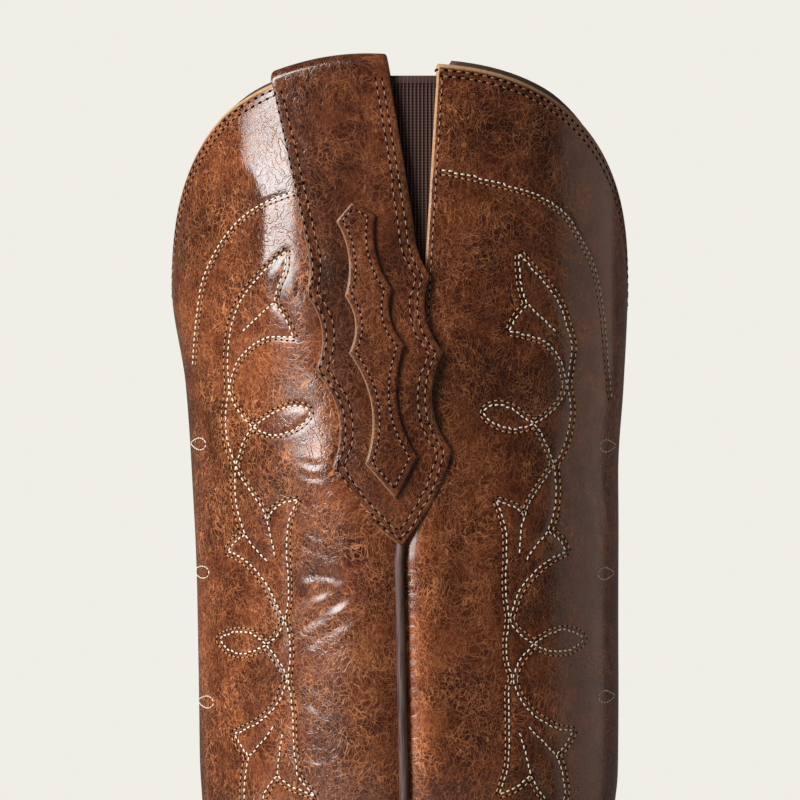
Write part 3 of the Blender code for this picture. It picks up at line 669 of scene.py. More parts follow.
def stitched_panel(halves, creases, folds, swells, light_and_tone_blobs, scroll, pucker):
    """Places, raw-edge shares and painted light and shade of a panel's halves, drawn in at its seam, creases
    and stitches.
    """
    stitched = np.concatenate([smooth_line(points, 0.5) for _, points in scroll])
    rows_near = KDTree(len(stitched))
    for count, (px, pz) in enumerate(stitched):
        rows_near.insert((px, 0, pz), count)
    rows_near.balance()
    made = []
    for side, rows, turns in halves:
        base = wall(rows, turns)
        x, z = base[..., 0], base[..., 2]
        away = np.linalg.norm(base - base[:, :1], axis=-1)
        under_collar = collar_height(turns) - z
        outside = beside_strap(x, z)
        clear = fade(outside, -8, 2)
        calm = fade(z, *SHAFT_HEIGHTS) * fade(outside, 0.5, 5)
        lift = seam_dip(away, z)
        waves = np.cos(math.tau * (z / 3.8 + 0.3 * np.sin(z / 8.0))) * np.exp(-(((away - 3.5) / 3.4) ** 2))
        lift += pucker * waves * fade(z, *SHAFT_HEIGHTS) * (1 - fade(z, 258, 268))
        lift += creases_at(x, z, creases) * calm * fade(away, 1, 7)
        lift += folds_at(x, z, folds) * clear
        lift += swells_at(x, z, swells) * clear * fade(away, 1, 12)
        lift += SLOW_WAVES * noise_over(x, z, 0.022, 3.1 * side) * calm * fade(away, 2, 20)
        near = [rows_near.find((px, 0, pz))[2] for px, pz in zip(x.flat, z.flat)]
        near = np.array(near).reshape(x.shape)
        lift -= STITCH_DIP * np.exp(-((near / 0.9) ** 2)) * calm
        edge = np.where(z > NOTCH_POINT[1], 1.25 * away, 9.0)
        edge = np.minimum(edge, under_collar)
        lift -= RAW_EDGE_DIP * (1 - fade(edge, 0, RAW_EDGE_WIDE))
        raw = (edge < 0.35 + 0.55 * fade(z, 360, 400)).astype(float)
        # The third part is the painted light and shade, which the finish reads off the corners as 'shade'.
        made.append((base + lift[..., None] * wall_normal(rows, turns), raw, painted_light_and_tone_at(x, z, light_and_tone_blobs)))
    return made


def grade(form, name, values):
    """Gives every corner of a skin a number that its finish reads."""
    layer = form.verts.layers.float.new(name)
    for corner, value in zip(form.verts, values.ravel()):
        corner[layer] = value


def graded(tree, name):
    """The number that a finish reads off the corners."""
    return put(tree, "ShaderNodeAttribute", attribute_name=name).outputs["Fac"]


def stretched(tree, vector, scale):
    """Places scaled on each axis, so that a pattern on them is drawn out."""
    return put(tree, "ShaderNodeMapping", {"Vector": vector, "Scale": scale}).outputs[0]


LEATHER_SHADES = ((0.029, 0.0052, 0.0019), (0.07, 0.0146, 0.0047), (0.137, 0.0345, 0.0108))
LEATHER_VEINS = (0.51, 0.2, 0.08)
RAW_DARK = (0.22, 0.11, 0.048, 1)
RAW_LIGHT = (0.52, 0.32, 0.165, 1)


def waxed_leather(name, depth, warmth):
    """Crackled leather under wax: dark and warm clouds, a net of fine tan cracks, raw tan edges, and colour
    made paler or darker by the corners' numbers: painted light and shade on the panels, darker patches on the
    strap.
    """
    finish, tree, shader = new_finish(name)
    place = object_place(tree)

    def noise_at(vector, scale, detail, output="Fac"):
        fields = {"Vector": vector, "Scale": scale, "Detail": detail, "Roughness": 0.6}
        return put(tree, "ShaderNodeTexNoise", fields).outputs[output]

    def swirled(vector, scale, reach):
        ways = {0: noise_at(vector, scale, 2.0, "Color"), 1: (reach, reach, reach)}
        shift = put(tree, "ShaderNodeVectorMath", ways, operation="MULTIPLY").outputs[0]
        return put(tree, "ShaderNodeVectorMath", {0: vector, 1: shift}, operation="ADD").outputs[0]

    def net_at(vector, scale, wide):
        fields = {"Vector": vector, "Scale": scale}
        edges = put(tree, "ShaderNodeTexVoronoi", fields, feature="DISTANCE_TO_EDGE").outputs["Distance"]
        return spread(tree, edges, 0.0, wide, 1, 0)

    def lines_at(vector, scale, wide):
        off = reckon(tree, "ABSOLUTE", reckon(tree, "SUBTRACT", noise_at(vector, scale, 1.0), 0.5))
        return spread(tree, off, 0.0, wide, 1, 0)

    def part_of(value, share):
        return reckon(tree, "MULTIPLY", value, share)

    def paint(colour):
        return tuple(depth * part for part in colour) + (1,)

    bent = swirled(swirled(place, 45.0, 0.016), 260.0, 0.0014)
    drawn = stretched(tree, bent, (1.0, 1.0, 0.36))
    clouds = noise_at(place, 36.0, 5.0)
    mottle = noise_at(bent, 170.0, 3.0)
    flecks = noise_at(drawn, 700.0, 3.0)
    cracks = net_at(bent, 500.0, 0.03)
    hairs = lines_at(drawn, 560.0, 0.018)
    fibres = part_of(lines_at(drawn, 1250.0, 0.03), 0.5)
    checks = part_of(net_at(bent, 270.0, 0.022), spread(tree, mottle, 0.4, 0.56, 0, 1))
    crackled = spread(tree, noise_at(place, 75.0, 4.0), 0.36, 0.64, 0.34, 1)
    coarse = reckon(tree, "MAXIMUM", cracks, hairs)
    net = reckon(tree, "MAXIMUM", coarse, reckon(tree, "MAXIMUM", fibres, checks))
    tone = reckon(tree, "ADD", part_of(clouds, 0.5), part_of(mottle, 0.3))
    tone = reckon(tree, "ADD", tone, part_of(flecks, 0.2))
    deep, middle, pale = [paint(shade) for shade in LEATHER_SHADES]
    base = tinted(tree, tone, 0.5, 0.62, tinted(tree, tone, 0.41, 0.52, deep, middle), pale)
    veined = blend_colours(tree, part_of(part_of(net, crackled), warmth), base, paint(LEATHER_VEINS))
    # Painted light and shade: the colour is scaled by one plus the corners' 'shade' number, paler where
    # painted as lit and darker where painted as in shade.
    lit = reckon(tree, "ADD", graded(tree, "shade"), 1.0)
    veined = put(tree, "ShaderNodeVectorMath", {0: veined, "Scale": lit}, operation="SCALE").outputs[0]
    raw = graded(tree, "raw")
    cut = blend_colours(tree, noise_at(place, 900.0, 2.0), RAW_DARK, RAW_LIGHT)
    tree.links.new(blend_colours(tree, raw, veined, cut), shader.inputs["Base Color"])
    dull = reckon(tree, "ADD", spread(tree, flecks, 0.35, 0.7, 0.2, 0.32), part_of(net, 0.1))
    tree.links.new(reckon(tree, "ADD", dull, part_of(raw, 0.4)), shader.inputs["Roughness"])
    bare = reckon(tree, "MAXIMUM", raw, part_of(net, 0.85))
    tree.links.new(spread(tree, bare, 0, 1, 0.95, 0), shader.inputs["Coat Weight"])
    shader.inputs["Coat Roughness"].default_value = 0.15
    shader.inputs["Specular IOR Level"].default_value = 0.12
    lines = part_of(lines_at(bent, 340.0, 0.045), spread(tree, noise_at(place, 43.0, 2.0), 0.38, 0.56, 0, 1))
    height = reckon(tree, "ADD", part_of(flecks, 0.1), part_of(noise_at(place, 1900.0, 2.0), 0.05))
    height = reckon(tree, "SUBTRACT", height, part_of(net, 0.04))
    height = reckon(tree, "SUBTRACT", height, part_of(lines, 0.2))
    tree.links.new(emboss(tree, shader, height, 0.5, 0.00026), shader.inputs["Coat Normal"])
    return finish


shaft_leather = waxed_leather("shaft_leather", 1.0, 0.95)

halves = panel_halves(10.0, notch_front, 0.0)
outer, inner = stitched_panel(
    halves, FRONT_CREASES, FRONT_FOLDS, FRONT_SWELLS, FRONT_PAINTED_LIGHT, FRONT_SCROLL, pucker=0.0
)
places, raw, shade = [np.concatenate([b, a[:, -2::-1]], axis=1) for a, b in zip(outer, inner)]
form = sheet(places)
grade(form, "raw", raw)
# Painted light and shade: the 'shade' numbers make the front panel's colour paler where it is painted as lit
# and darker where painted as in shade.
grade(form, "shade", shade)
front_skin = BVHTree.FromBMesh(form)
front_panel = add_piece("front_panel", form, shaft_leather)
thicken(front_panel, PANEL_THICK)
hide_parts("upper")

# Back panel of the shaft: the same leather from side seam to side seam round the back, down under the heel
# counter. The two panels are sewn together at the sides over the piping.
BACK_CREASES = (
    (0.20, 1.44, ((31.4, 245.4), (38.3, 246.4), (45.5, 249.2))),
    (0.20, 1.44, ((50.2, 247.0), (56.5, 249.8), (62.8, 254.8))),
    (0.20, 1.60, ((22.0, 345.9), (27.0, 340.2), (30.8, 333.3))),
    (0.16, 1.44, ((16.3, 327.1), (22.0, 323.3), (28.3, 321.4))),
    (0.16, 1.28, ((59.7, 292.5), (62.2, 283.1), (64.1, 273.7))),
    (0.16, 1.44, ((17.3, 264.3), (22.0, 260.5), (27.6, 258.6))),
)
# Painted light and shade on the back panel: darker where it lies in shade over its upper right, a painted
# highlight beside the side seam and a painted sheen along the back rim.
BACK_PAINTED_LIGHT = (
    (-0.22, 27.0, 400.0, 20.0, 20.0),
    (-0.22, 29.0, 366.0, 17.0, 20.0),
    (-0.5, 18.0, 316.0, 13.0, 30.0),
    (-0.12, 21.0, 235.0, 13.0, 34.0),
    (0.4, 6.0, 225.0, 4.5, 62.0),
    (0.35, 66.0, 318.0, 7.0, 30.0),
)
BACK_SCROLL = (
    (-1, ((12.9, 388.3), (20.1, 387.0), (28.6, 384.8), (41.8, 381.1), (51.5, 375.1), (56.5, 367.9),
         (61.2, 358.5), (63.7, 347.5), (65.0, 337.7), (65.9, 327.1), (67.2, 316.1))),
    (1, ((37.7, 361.9), (41.8, 357.2), (47.1, 351.2), (50.6, 345.6), (52.8, 339.0), (54.3, 333.3),
         (53.7, 326.7), (52.8, 320.8))),
    (-1, ((37.7, 361.9), (37.7, 357.2), (38.6, 350.6), (40.2, 346.2))),
    (0, ((40.2, 346.2), (44.6, 341.8), (49.3, 337.4))),
    (-1, ((40.2, 346.2), (36.7, 342.1), (34.5, 337.7))),
    (-1, ((34.5, 337.7), (38.6, 336.8), (44.0, 335.2), (47.7, 332.7), (50.6, 328.6), (51.8, 324.2),
         (52.8, 320.8))),
    (1, ((52.8, 320.8), (54.0, 312.9), (53.1, 305.7), (51.2, 299.7), (48.7, 295.7))),
    (-1, ((52.8, 320.8), (51.2, 316.1), (47.4, 311.7), (42.4, 308.5))),
    (1, ((42.4, 308.5), (38.9, 307.3), (34.9, 307.0), (30.1, 308.5), (26.7, 311.4), (27.6, 313.6),
         (31.1, 314.5), (35.5, 313.2), (38.9, 310.7), (42.4, 308.5))),
    (-1, ((42.4, 308.5), (44.6, 305.1), (46.8, 300.4), (48.7, 295.7))),
    (-1, ((48.7, 295.7), (46.2, 291.9), (43.0, 287.2), (40.8, 283.4), (39.3, 279.3))),
    (1, ((48.7, 295.7), (49.3, 287.8), (48.7, 280.6), (46.8, 274.6))),
    (-1, ((39.3, 279.3), (36.1, 282.2), (30.1, 284.4))),
    (-1, ((30.1, 284.4), (31.7, 280.6), (33.3, 274.6), (33.6, 266.1), (33.3, 258.9), (33.9, 251.1),
         (34.5, 247.3))),
    (0, ((39.3, 279.3), (38.3, 275.6), (37.7, 267.4))),
    (0, ((46.8, 274.6), (43.3, 270.2), (39.9, 265.5))),
    (1, ((46.8, 274.6), (50.6, 271.5), (52.4, 268.0))),
    (1, ((52.4, 268.0), (47.4, 265.5), (42.1, 261.1), (37.7, 255.8), (35.5, 249.8), (34.5, 247.3))),
    (1, ((34.5, 247.3), (36.4, 243.8), (39.6, 241.0), (42.4, 239.1))),
    (-1, ((42.4, 239.1), (45.8, 237.3), (49.9, 236.3), (54.6, 237.3), (57.8, 239.8), (56.2, 242.0),
         (52.1, 243.2), (48.0, 242.3), (44.9, 240.7), (42.4, 239.1))),
    (1, ((42.4, 239.1), (39.6, 236.0), (37.1, 232.5), (35.5, 228.1))),
    (-1, ((34.5, 247.3), (33.6, 239.8), (33.9, 234.1), (35.5, 228.1))),
    (1, ((35.5, 228.1), (37.4, 223.1), (41.1, 217.8), (45.8, 214.3), (49.9, 212.1), (54.6, 211.2))),
    (1, ((54.6, 211.2), (52.1, 206.8), (49.3, 204.0))),
    (1, ((49.3, 204.0), (50.9, 199.6), (52.1, 193.3), (51.8, 189.2), (50.6, 181.0), (47.7, 173.2),
         (44.3, 166.3))),
    (0, ((49.3, 204.0), (44.9, 208.4), (40.5, 213.1))),
    (-1, ((35.5, 228.1), (34.2, 224.7), (34.2, 218.4), (34.2, 212.1), (34.2, 204.9), (33.6, 199.6),
         (31.1, 192.0))),
    (-1, ((31.1, 192.0), (36.4, 193.9), (41.1, 197.7))),
    (-1, ((41.1, 197.7), (43.6, 193.0), (46.2, 189.2), (47.4, 182.0), (46.5, 173.2), (44.3, 166.3))),
    (0, ((41.1, 197.7), (39.6, 204.9), (37.7, 211.2))),
)
BACK_DROPS = ((65.2, 301.0), (64.6, 260.6), (64.8, 221.6))

notch_back = edge_line(((NOTCH_BACK_X, NOTCH_TOP_Z), NOTCH_POINT, *PIPING_POINTS))


def close_back(form, wide, outer_wide):
    """Opens the strip between the two sole edges, then joins the halves along the back line."""
    strip = {outer_wide - 1, outer_wide}
    across = [face for face in form.faces if {corner.index % wide for corner in face.verts} == strip]
    bmesh.ops.delete(form, geom=across, context="FACES_ONLY")
    merge_corners(form)


halves = panel_halves(10.82, notch_back, math.pi)
outer, inner = stitched_panel(halves, BACK_CREASES, (), (), BACK_PAINTED_LIGHT, BACK_SCROLL, pucker=0.06)
places, raw, shade = [np.concatenate([a, b[:, ::-1]], axis=1) for a, b in zip(outer, inner)]
form = sheet(places)
grade(form, "raw", raw)
# Painted light and shade: the 'shade' numbers make the back panel's colour darker where it is painted as in
# shade and paler at the painted seam highlight and rim sheen.
grade(form, "shade", shade)
close_back(form, places.shape[1], outer[0].shape[1])
back_skin = BVHTree.FromBMesh(form)
back_panel = add_piece("back_panel", form, shaft_leather)
thicken(back_panel, PANEL_THICK)
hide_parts("upper")

# Gores: a woven elastic with fine ribs, let into the notch on each side so that the top can stretch. It is
# sewn behind the panels' edges, and its top is folded over.
GORE_TOP = 418
GORE_END = 333
GORE_HEM = 2.3
GORE_FACE = -1.05
GORE_THICK = 0.6
GORE_TUCK = 1.6
RIB = 1.2
RIB_HEIGHT = 0.16
PICK = 0.92

elastic, tree, shader = new_finish("elastic")
rib_wave, pick_wave = [
    reckon(tree, "COSINE", reckon(tree, "MULTIPLY", graded(tree, name), math.tau)) for name in ("rib", "pick")
]
crossings = reckon(tree, "MULTIPLY", spread(tree, pick_wave, 0.1, 0.95, 0, 1), 0.5)
weave = reckon(tree, "MAXIMUM", spread(tree, rib_wave, 0.0, 0.9, 0, 1), crossings)
weave = reckon(tree, "MULTIPLY", weave, spread(tree, pick_wave, -1, 0.4, 0.55, 1))
weave = reckon(tree, "MAXIMUM", weave, reckon(tree, "MULTIPLY", graded(tree, "hem"), 0.42))
colour = blend_colours(tree, weave, (0.006, 0.0026, 0.002, 1), (0.1, 0.046, 0.037, 1))
tree.links.new(colour, shader.inputs["Base Color"])
emboss(tree, shader, weave, 0.6, 0.0002)
shader.inputs["Roughness"].default_value = 0.72
shader.inputs["Specular IOR Level"].default_value = 0.2


def turn_of(row, share):
    """Turns, above zero, at shares of rows from their back or sole end to the front line."""
    _, _, _, _, half, edge, level, _, sharp = section(row)
    foot = foot_angle(half, edge, sharp)
    high = np.arccos(np.clip((share - level) / (1 - level), -1, 1))
    swung = np.arccos(np.clip(np.cos(foot) * (1 - np.maximum(share, 0) / level), -1, 1))
    low = QUARTER * (1 + (QUARTER - swung) / (QUARTER - foot))
    return np.where(share >= level, high, low)


def over_side(x, z, side, lift=0.0):
    """Points off the wall over places of the side view. side is -1 outer and 1 inner."""
    low = np.zeros_like(x)
    high = np.full_like(x, LAST_ROW)
    for _ in range(28):
        middle = (low + high) / 2
        front_x, front_z, back_x, back_z = [line(middle) for line in SECTION_LINES[:4]]
        behind = (front_x - back_x) * (z - back_z) < (front_z - back_z) * (x - back_x)
        low, high = np.where(behind, middle, low), np.where(behind, high, middle)
    front_x, front_z, back_x, back_z = [line(low) for line in SECTION_LINES[:4]]
    run_x, run_z = front_x - back_x, front_z - back_z
    share = ((x - back_x) * run_x + (z - back_z) * run_z) / np.maximum(run_x**2 + run_z**2, 1e-9)
    return off_wall(low, side * turn_of(low, share), lift)


SIDES = (("outer", -1), ("inner", 1))
for name, side in SIDES:
    weave_heights = np.linspace(GORE_END, GORE_TOP - GORE_HEM - 0.3, 44)
    hem_heights = GORE_TOP - np.array([GORE_HEM, 2.0, 1.2, 0.5, 0.1, 0])
    across = np.arange(-14, 14.01, RIB / 6)
    x, z = np.meshgrid(across, np.concatenate([weave_heights, hem_heights]))
    x = np.clip(x, notch_front(z) - GORE_TUCK, notch_back(z) + GORE_TUCK)
    is_hem = (z > GORE_TOP - GORE_HEM - 0.05).astype(float)
    ribs = RIB_HEIGHT * np.cos(math.tau * x / RIB) * (1 - is_hem)
    rounded = 0.35 * fade(z, GORE_TOP - 0.5, GORE_TOP)
    points = over_side(x, z, side, GORE_FACE + ribs + 0.3 * is_hem - rounded)
    order = slice(None) if side < 0 else slice(None, None, -1)
    form = sheet(points[:, order])
    grade(form, "rib", (x / RIB)[:, order])
    grade(form, "pick", (z / PICK)[:, order])
    grade(form, "hem", is_hem[:, order])
    gore = add_piece(f"gore_cloth_{name}", form, elastic)
    thicken(gore, GORE_THICK)
    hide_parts(f"gore_{name}")

# Piping: a bead of dark leather rolled over a cord, caught in each side seam from the strap's point to the
# welt. It is sewn in between the panels, and its round stands out.
PIPING_RADIUS = 1.5
PIPING_ENDS = (274, 51.5)
PIPING_LIFT = 0.6
PIPING_LOW_LIFT = 0.75

piping_leather, tree, shader = new_finish("piping_leather")
lines = speckled(tree, stretched(tree, object_place(tree), (1600.0, 1600.0, 90.0)), 1.0, 2.0)
colour = tinted(tree, lines, 0.35, 0.7, (0.04, 0.022, 0.019, 1), (0.11, 0.066, 0.058, 1))
tree.links.new(colour, shader.inputs["Base Color"])
emboss(tree, shader, lines, 0.5, 0.00015)
shader.inputs["Roughness"].default_value = 0.5
shader.inputs["Specular IOR Level"].default_value = 0.3


def come_round(values):
    """Rings of values, one to a row, with the first of each repeated at its end."""
    return np.concatenate([values, values[:, :1]], axis=1)


def close_tube(form):
    """Joins the rings of a skin and fills its two ends."""
    merge_corners(form)
    bmesh.ops.holes_fill(form, edges=[edge for edge in form.edges if edge.is_boundary], sides=0)


def face_out(form):
    """Turns all faces of a closed form outwards."""
    bmesh.ops.recalc_face_normals(form, faces=form.faces)


def filled_tube(points):
    """A closed form from rings of points, one ring to a row, with its ends filled."""
    form = sheet(come_round(points))
    close_tube(form)
    face_out(form)
    return form


for name, side in SIDES:
    z = np.linspace(*PIPING_ENDS, 180)
    x = notch_front(z)
    centre = over_side(x, z, side, PIPING_LIFT + PIPING_LOW_LIFT * (1 - fade(z, *SEAM_HEIGHTS)))
    out = over_side(x, z, side, 10.0) - over_side(x, z, side, 0.0)
    out /= np.linalg.norm(out, axis=1, keepdims=True)
    along = np.gradient(centre, axis=0)
    across = np.cross(along, out)
    across /= np.linalg.norm(across, axis=1, keepdims=True)
    angle = np.linspace(0, math.tau, 16, endpoint=False)
    ring = out[:, None] * np.cos(angle)[None, :, None] + across[:, None] * np.sin(angle)[None, :, None]
    form = filled_tube(centre[:, None] + PIPING_RADIUS * ring)
    bead = add_piece(f"side_bead_{name}", form, piping_leather)
    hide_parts(f"side_piping_{name}")

# Pull straps: two layers of the shaft's leather with scalloped raw edges, folded over the collar and sewn
# down outside and inside, each with a small scalloped patch sewn on it.
STRAP_THICK = 2.0
STRAP_OUTSIDE = 1.3
STRAP_INSIDE = -4.0
STRAP_INSIDE_LEG = 42
STRAP_ROWS = (2.2, 4.4)
STRAP_COLUMNS = 27
STRAP_CROWN = 2.0
STRAP_CROWN_LONG = 40
STRAP_STAND_OFF = 0.0052
PATCH_EDGE = (
    (44.7, 0.4, 0), (49.6, 6, 2.4), (73.2, 7.2, 2.5), (91.1, 8.5, 4.3), (126.3, 7.9, 0), (138, 0.4, 0),
)
PATCH_THICK = 1.6
PATCH_LIFT = 3.1
PATCH_COLUMNS = 13
# Patches over the strap's middle and left where its colour is painted darker.
STRAP_DARKER_PATCHES = (
    (-0.55, -19.5, 355.0, 6.5, 18.0),
    (-0.45, -15.5, 337.0, 5.0, 10.0),
    (-0.18, -17.0, 386.0, 12.0, 14.0),
    (-0.35, -1.5, 362.0, 5.0, 14.0),
    (-0.2, -14.0, 312.0, 8.0, 12.0),
)

strap_leather = waxed_leather("strap_leather", 0.66, 0.8)


def strap_place(down, across):
    """Places of the side view on the strap: down from its fold, and across towards the back."""
    crown = STRAP_CROWN * np.maximum(0, 1 - down / STRAP_CROWN_LONG)
    down = down - crown * (1 - (across / STRAP_HALF) ** 2)
    across = across + STRAP_BOW * np.sin(math.pi * np.maximum(down, 0) / STRAP_LONG)
    x = STRAP_TOP[0] + down * math.sin(STRAP_LEAN) + across * math.cos(STRAP_LEAN)
    z = STRAP_TOP[1] - down * math.cos(STRAP_LEAN) + across * math.sin(STRAP_LEAN)
    return x, z


def rim(half, thick, columns):
    """A strip's section: across, height and raw share, up the front edge, over the face and back under."""
    up = thick / 2
    face = np.linspace(-1, 1, columns) * np.maximum(half - 0.62, 0.05)
    front = [(-half + 0.25, -up, 1), (-half, -0.6 * up, 1), (-half, 0.2 * up, 1)]
    front.append((-half + 0.34, 0.86 * up, 0.3))
    over = [(across, up, 0) for across in face]
    # Painted shade: the back edge, away from the light, keeps the face's dark colour over its upper part
    # instead of the tan of the cut, while the front edge shows tan nearly to the top.
    back = [(half - 0.14, 0.8 * up, 0), (half, 0.3 * up, 0), (half, -0.6 * up, 1), (half - 0.25, -up, 1)]
    under = [(across, -up, 0) for across in np.linspace(0.8, -0.8, 6) * half]
    return np.array(front + over + back + under)


def strip_sections(edge, down, thick, columns):
    """Half widths at distances down a strip, and its sections there."""
    half = scalloped(edge, down)
    return half, *np.moveaxis(np.array([rim(wide, thick, columns) for wide in half[:, 0]]), -1, 0)


def outline_stations(edge, step):
    """Distances down a scalloped outline, close together and with its corners among them."""
    stations = []
    for one, other in zip(edge, edge[1:]):
        count = max(int((other[0] - one[0]) / step), 2)
        stations.extend(np.linspace(one[0], other[0], count, endpoint=False))
    return np.array([*stations, edge[-1][0]])


def puffed(across, half, height):
    """The face of a sewn strip: drawn in along its stitch rows and full between them."""
    inside = half - np.abs(across)
    rows = sum(np.exp(-(((inside - row) / 0.75) ** 2)) for row in STRAP_ROWS)
    return np.where(height > 0.9, 0.16 * fade(inside, 3, 10) - 0.17 * rows, 0)


def stand_off(x):
    """How far a strap, too stiff to follow the round of the shaft, stands off it towards the front."""
    return STRAP_STAND_OFF * np.maximum(-x - 8, 0) ** 2


def add_strip(name, rings, raws, side, light_and_tone_blobs):
    """A sewn strip with raw edges from its rings, and the skin that its stitches lie on."""
    order = slice(None) if side < 0 else slice(None, None, -1)
    rings, raws = rings[:, order], raws[:, order]
    form = sheet(come_round(rings))
    grade(form, "raw", come_round(raws))
    # The 'shade' numbers paint the strap darker in patches.
    grade(form, "shade", come_round(painted_light_and_tone_at(rings[..., 0], rings[..., 2], light_and_tone_blobs)))
    close_tube(form)
    skin = BVHTree.FromBMesh(form)
    return add_piece(name, form, strap_leather), skin


strap_skins = {}
patch_skins = {}
for name, side in SIDES:
    fold_middle = (STRAP_OUTSIDE + STRAP_INSIDE) / 2
    fold_radius = (STRAP_OUTSIDE - STRAP_INSIDE) / 2
    fold_down = fold_radius + STRAP_THICK / 2
    down = outline_stations(STRAP_EDGE, 1.2)[::-1]
    down = down[down > fold_down + 0.6][:, None]
    half, across, height, raw = strip_sections(STRAP_EDGE, down, STRAP_THICK, STRAP_COLUMNS)
    x, z = strap_place(down + 0 * across, across)
    face = over_side(x, z, side, STRAP_OUTSIDE + height + puffed(across, half, height))
    face[..., 1] += side * stand_off(x)
    across, height, fold_raw = rim(STRAP_HALF, STRAP_THICK, STRAP_COLUMNS).T
    angle = np.linspace(0, math.pi, 15)[:, None]
    reach = fold_radius + height
    x, z = strap_place(fold_down - reach * np.sin(angle), across + 0 * angle)
    fold = over_side(x, z, side, fold_middle + reach * np.cos(angle))
    fold[..., 1] += side * stand_off(x) * (1 + np.cos(angle)) / 2
    leg = np.linspace(2, STRAP_INSIDE_LEG, 18)[:, None]
    x, z = strap_place(fold_down + leg + 0 * across, across + 0 * leg)
    inside = over_side(x, z, side, STRAP_INSIDE - height + 0 * leg)
    rings = np.concatenate([face, fold, inside])
    raws = np.concatenate([raw, np.broadcast_to(fold_raw, (len(fold) + len(inside), len(fold_raw)))])
    strap, strap_skins[side] = add_strip(f"strap_{name}", rings, raws, side, STRAP_DARKER_PATCHES)
    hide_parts(f"pull_strap_{name}")

    down = outline_stations(PATCH_EDGE, 1.0)[::-1][:, None]
    half, across, height, raw = strip_sections(PATCH_EDGE, down, PATCH_THICK, PATCH_COLUMNS)
    x, z = strap_place(down + 0 * across, across)
    full = 0.12 * (height > 0.7) * fade(half - np.abs(across), 0.5, 5)
    rings = over_side(x, z, side, PATCH_LIFT + height + full)
    rings[..., 1] += side * stand_off(x)
    patch, patch_skins[side] = add_strip(f"patch_{name}", rings, raw, side, ())
    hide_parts(f"strap_patch_{name}")

# Vamp: one piece of the same leather, lasted over the forefoot from the welt up to a pointed tongue on the
# instep, with its raw edge sewn over the shaft.
VAMP_LINE = ((-66, 170), (-60, 156), (-55, 135), (-44, 112), (-26, 88), (-8, 64), (0, 48))
OVERLAY_FACE = 1.9
OVERLAY_THICK = 1.3
TONGUE_ROW = 10.3
WELT_LINE = line_through(
    (-219, -204, -174, -139, -109, -84, -64, -44, -15, 10, 40, 70),
    (21.95, 16.8, 10.7, 8.3, 8.3, 13.3, 20.04, 27.8, 38.1, 44.9, 48.9, 50.7),
)


def level_rows(rows):
    """Rows that keep to their own section, as a rule that gives them at turns."""
    return lambda turn: np.broadcast_to(rows[:, None], turn.shape)


def overlay_half(rows, side, start, end, count):
    """Places and raw-edge shares of half an overlay, from its sewn edge to its middle or sole edge."""
    span = np.maximum(np.abs(end - start) * 45, 0.01)
    near = np.minimum(np.array([0, 0.25, 0.55, 0.75]) / span, 0.2)
    first = np.minimum(1.2 / span, 0.3)
    shares = np.concatenate([near, first + (1 - first) * np.linspace(0, 1, count)], axis=1)
    turn = side * (start + (end - start) * shares)
    row = level_rows(rows)(turn)
    base = wall(row, turn)
    away = np.linalg.norm(base - base[:, :1], axis=-1)
    sewn = start < math.pi - 0.02
    dip = RAW_EDGE_DIP * (1 - fade(away, 0, RAW_EDGE_WIDE)) * sewn
    places = off_wall(row, turn, OVERLAY_FACE - dip)
    places[..., 2] = np.maximum(places[..., 2], WELT_LINE(places[..., 0]) + 0.3)
    return places, 1.0 * (away < 0.9) * sewn


vamp_edge = edge_line(VAMP_LINE)
vamp_rows = np.concatenate(
    [np.linspace(0, 3, 30), np.linspace(3.05, TONGUE_ROW, 90), np.linspace(10.34, 12.86, 64)]
)
free = vamp_rows > TONGUE_ROW
vamp_start = np.full((len(vamp_rows), 1), math.pi)
vamp_start[free] = edge_turn(level_rows(vamp_rows[free]), vamp_edge, np.count_nonzero(free))
outer, outer_raw = overlay_half(vamp_rows, -1, vamp_start, 0.0, 48)
inner, inner_raw = overlay_half(vamp_rows, 1, vamp_start, 0.0, 48)
form = sheet(np.concatenate([inner, outer[:, -2::-1]], axis=1))
grade(form, "raw", np.concatenate([inner_raw, outer_raw[:, -2::-1]], axis=1))
merge_corners(form)
vamp_skin = BVHTree.FromBMesh(form)
vamp = add_piece("vamp_leather", form, shaft_leather)
thicken(vamp, OVERLAY_THICK)
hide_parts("vamp")

# Heel counter: a cup of the same leather round the back of the heel, moulded on the last and sewn over the
# back panel along its raw top edge. Its foot ends on the welt.
COUNTER_LINE = ((13, 50), (14, 62), (22, 82), (40, 99), (76, 112))
COUNTER_TURN = (50, 61)


def bridged(half, first, last):
    """A half whose rows between two others run straight, where the sole's edge turns into the back line."""
    share = np.linspace(0, 1, last - first + 1)[:, None, None]
    half[first : last + 1] = (1 - share) * half[first] + share * half[last]
    return half


counter_edge = edge_line(COUNTER_LINE)
counter_rows = np.concatenate([np.linspace(11.0, 15, 60), np.linspace(15.04, 17.3, 50)])
counter_start = edge_turn(level_rows(counter_rows), counter_edge, len(counter_rows))
outer, outer_raw = overlay_half(counter_rows, -1, counter_start, math.pi, 44)
inner, inner_raw = overlay_half(counter_rows, 1, counter_start, math.pi, 44)
outer, inner = bridged(outer, *COUNTER_TURN), bridged(inner, *COUNTER_TURN)
form = sheet(np.concatenate([outer, inner[:, ::-1]], axis=1))
grade(form, "raw", np.concatenate([outer_raw, inner_raw[:, ::-1]], axis=1))
close_back(form, outer.shape[1] + inner.shape[1], outer.shape[1])
counter_skin = BVHTree.FromBMesh(form)
counter = add_piece("counter_leather", form, shaft_leather)
thicken(counter, OVERLAY_THICK)
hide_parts("heel_counter")

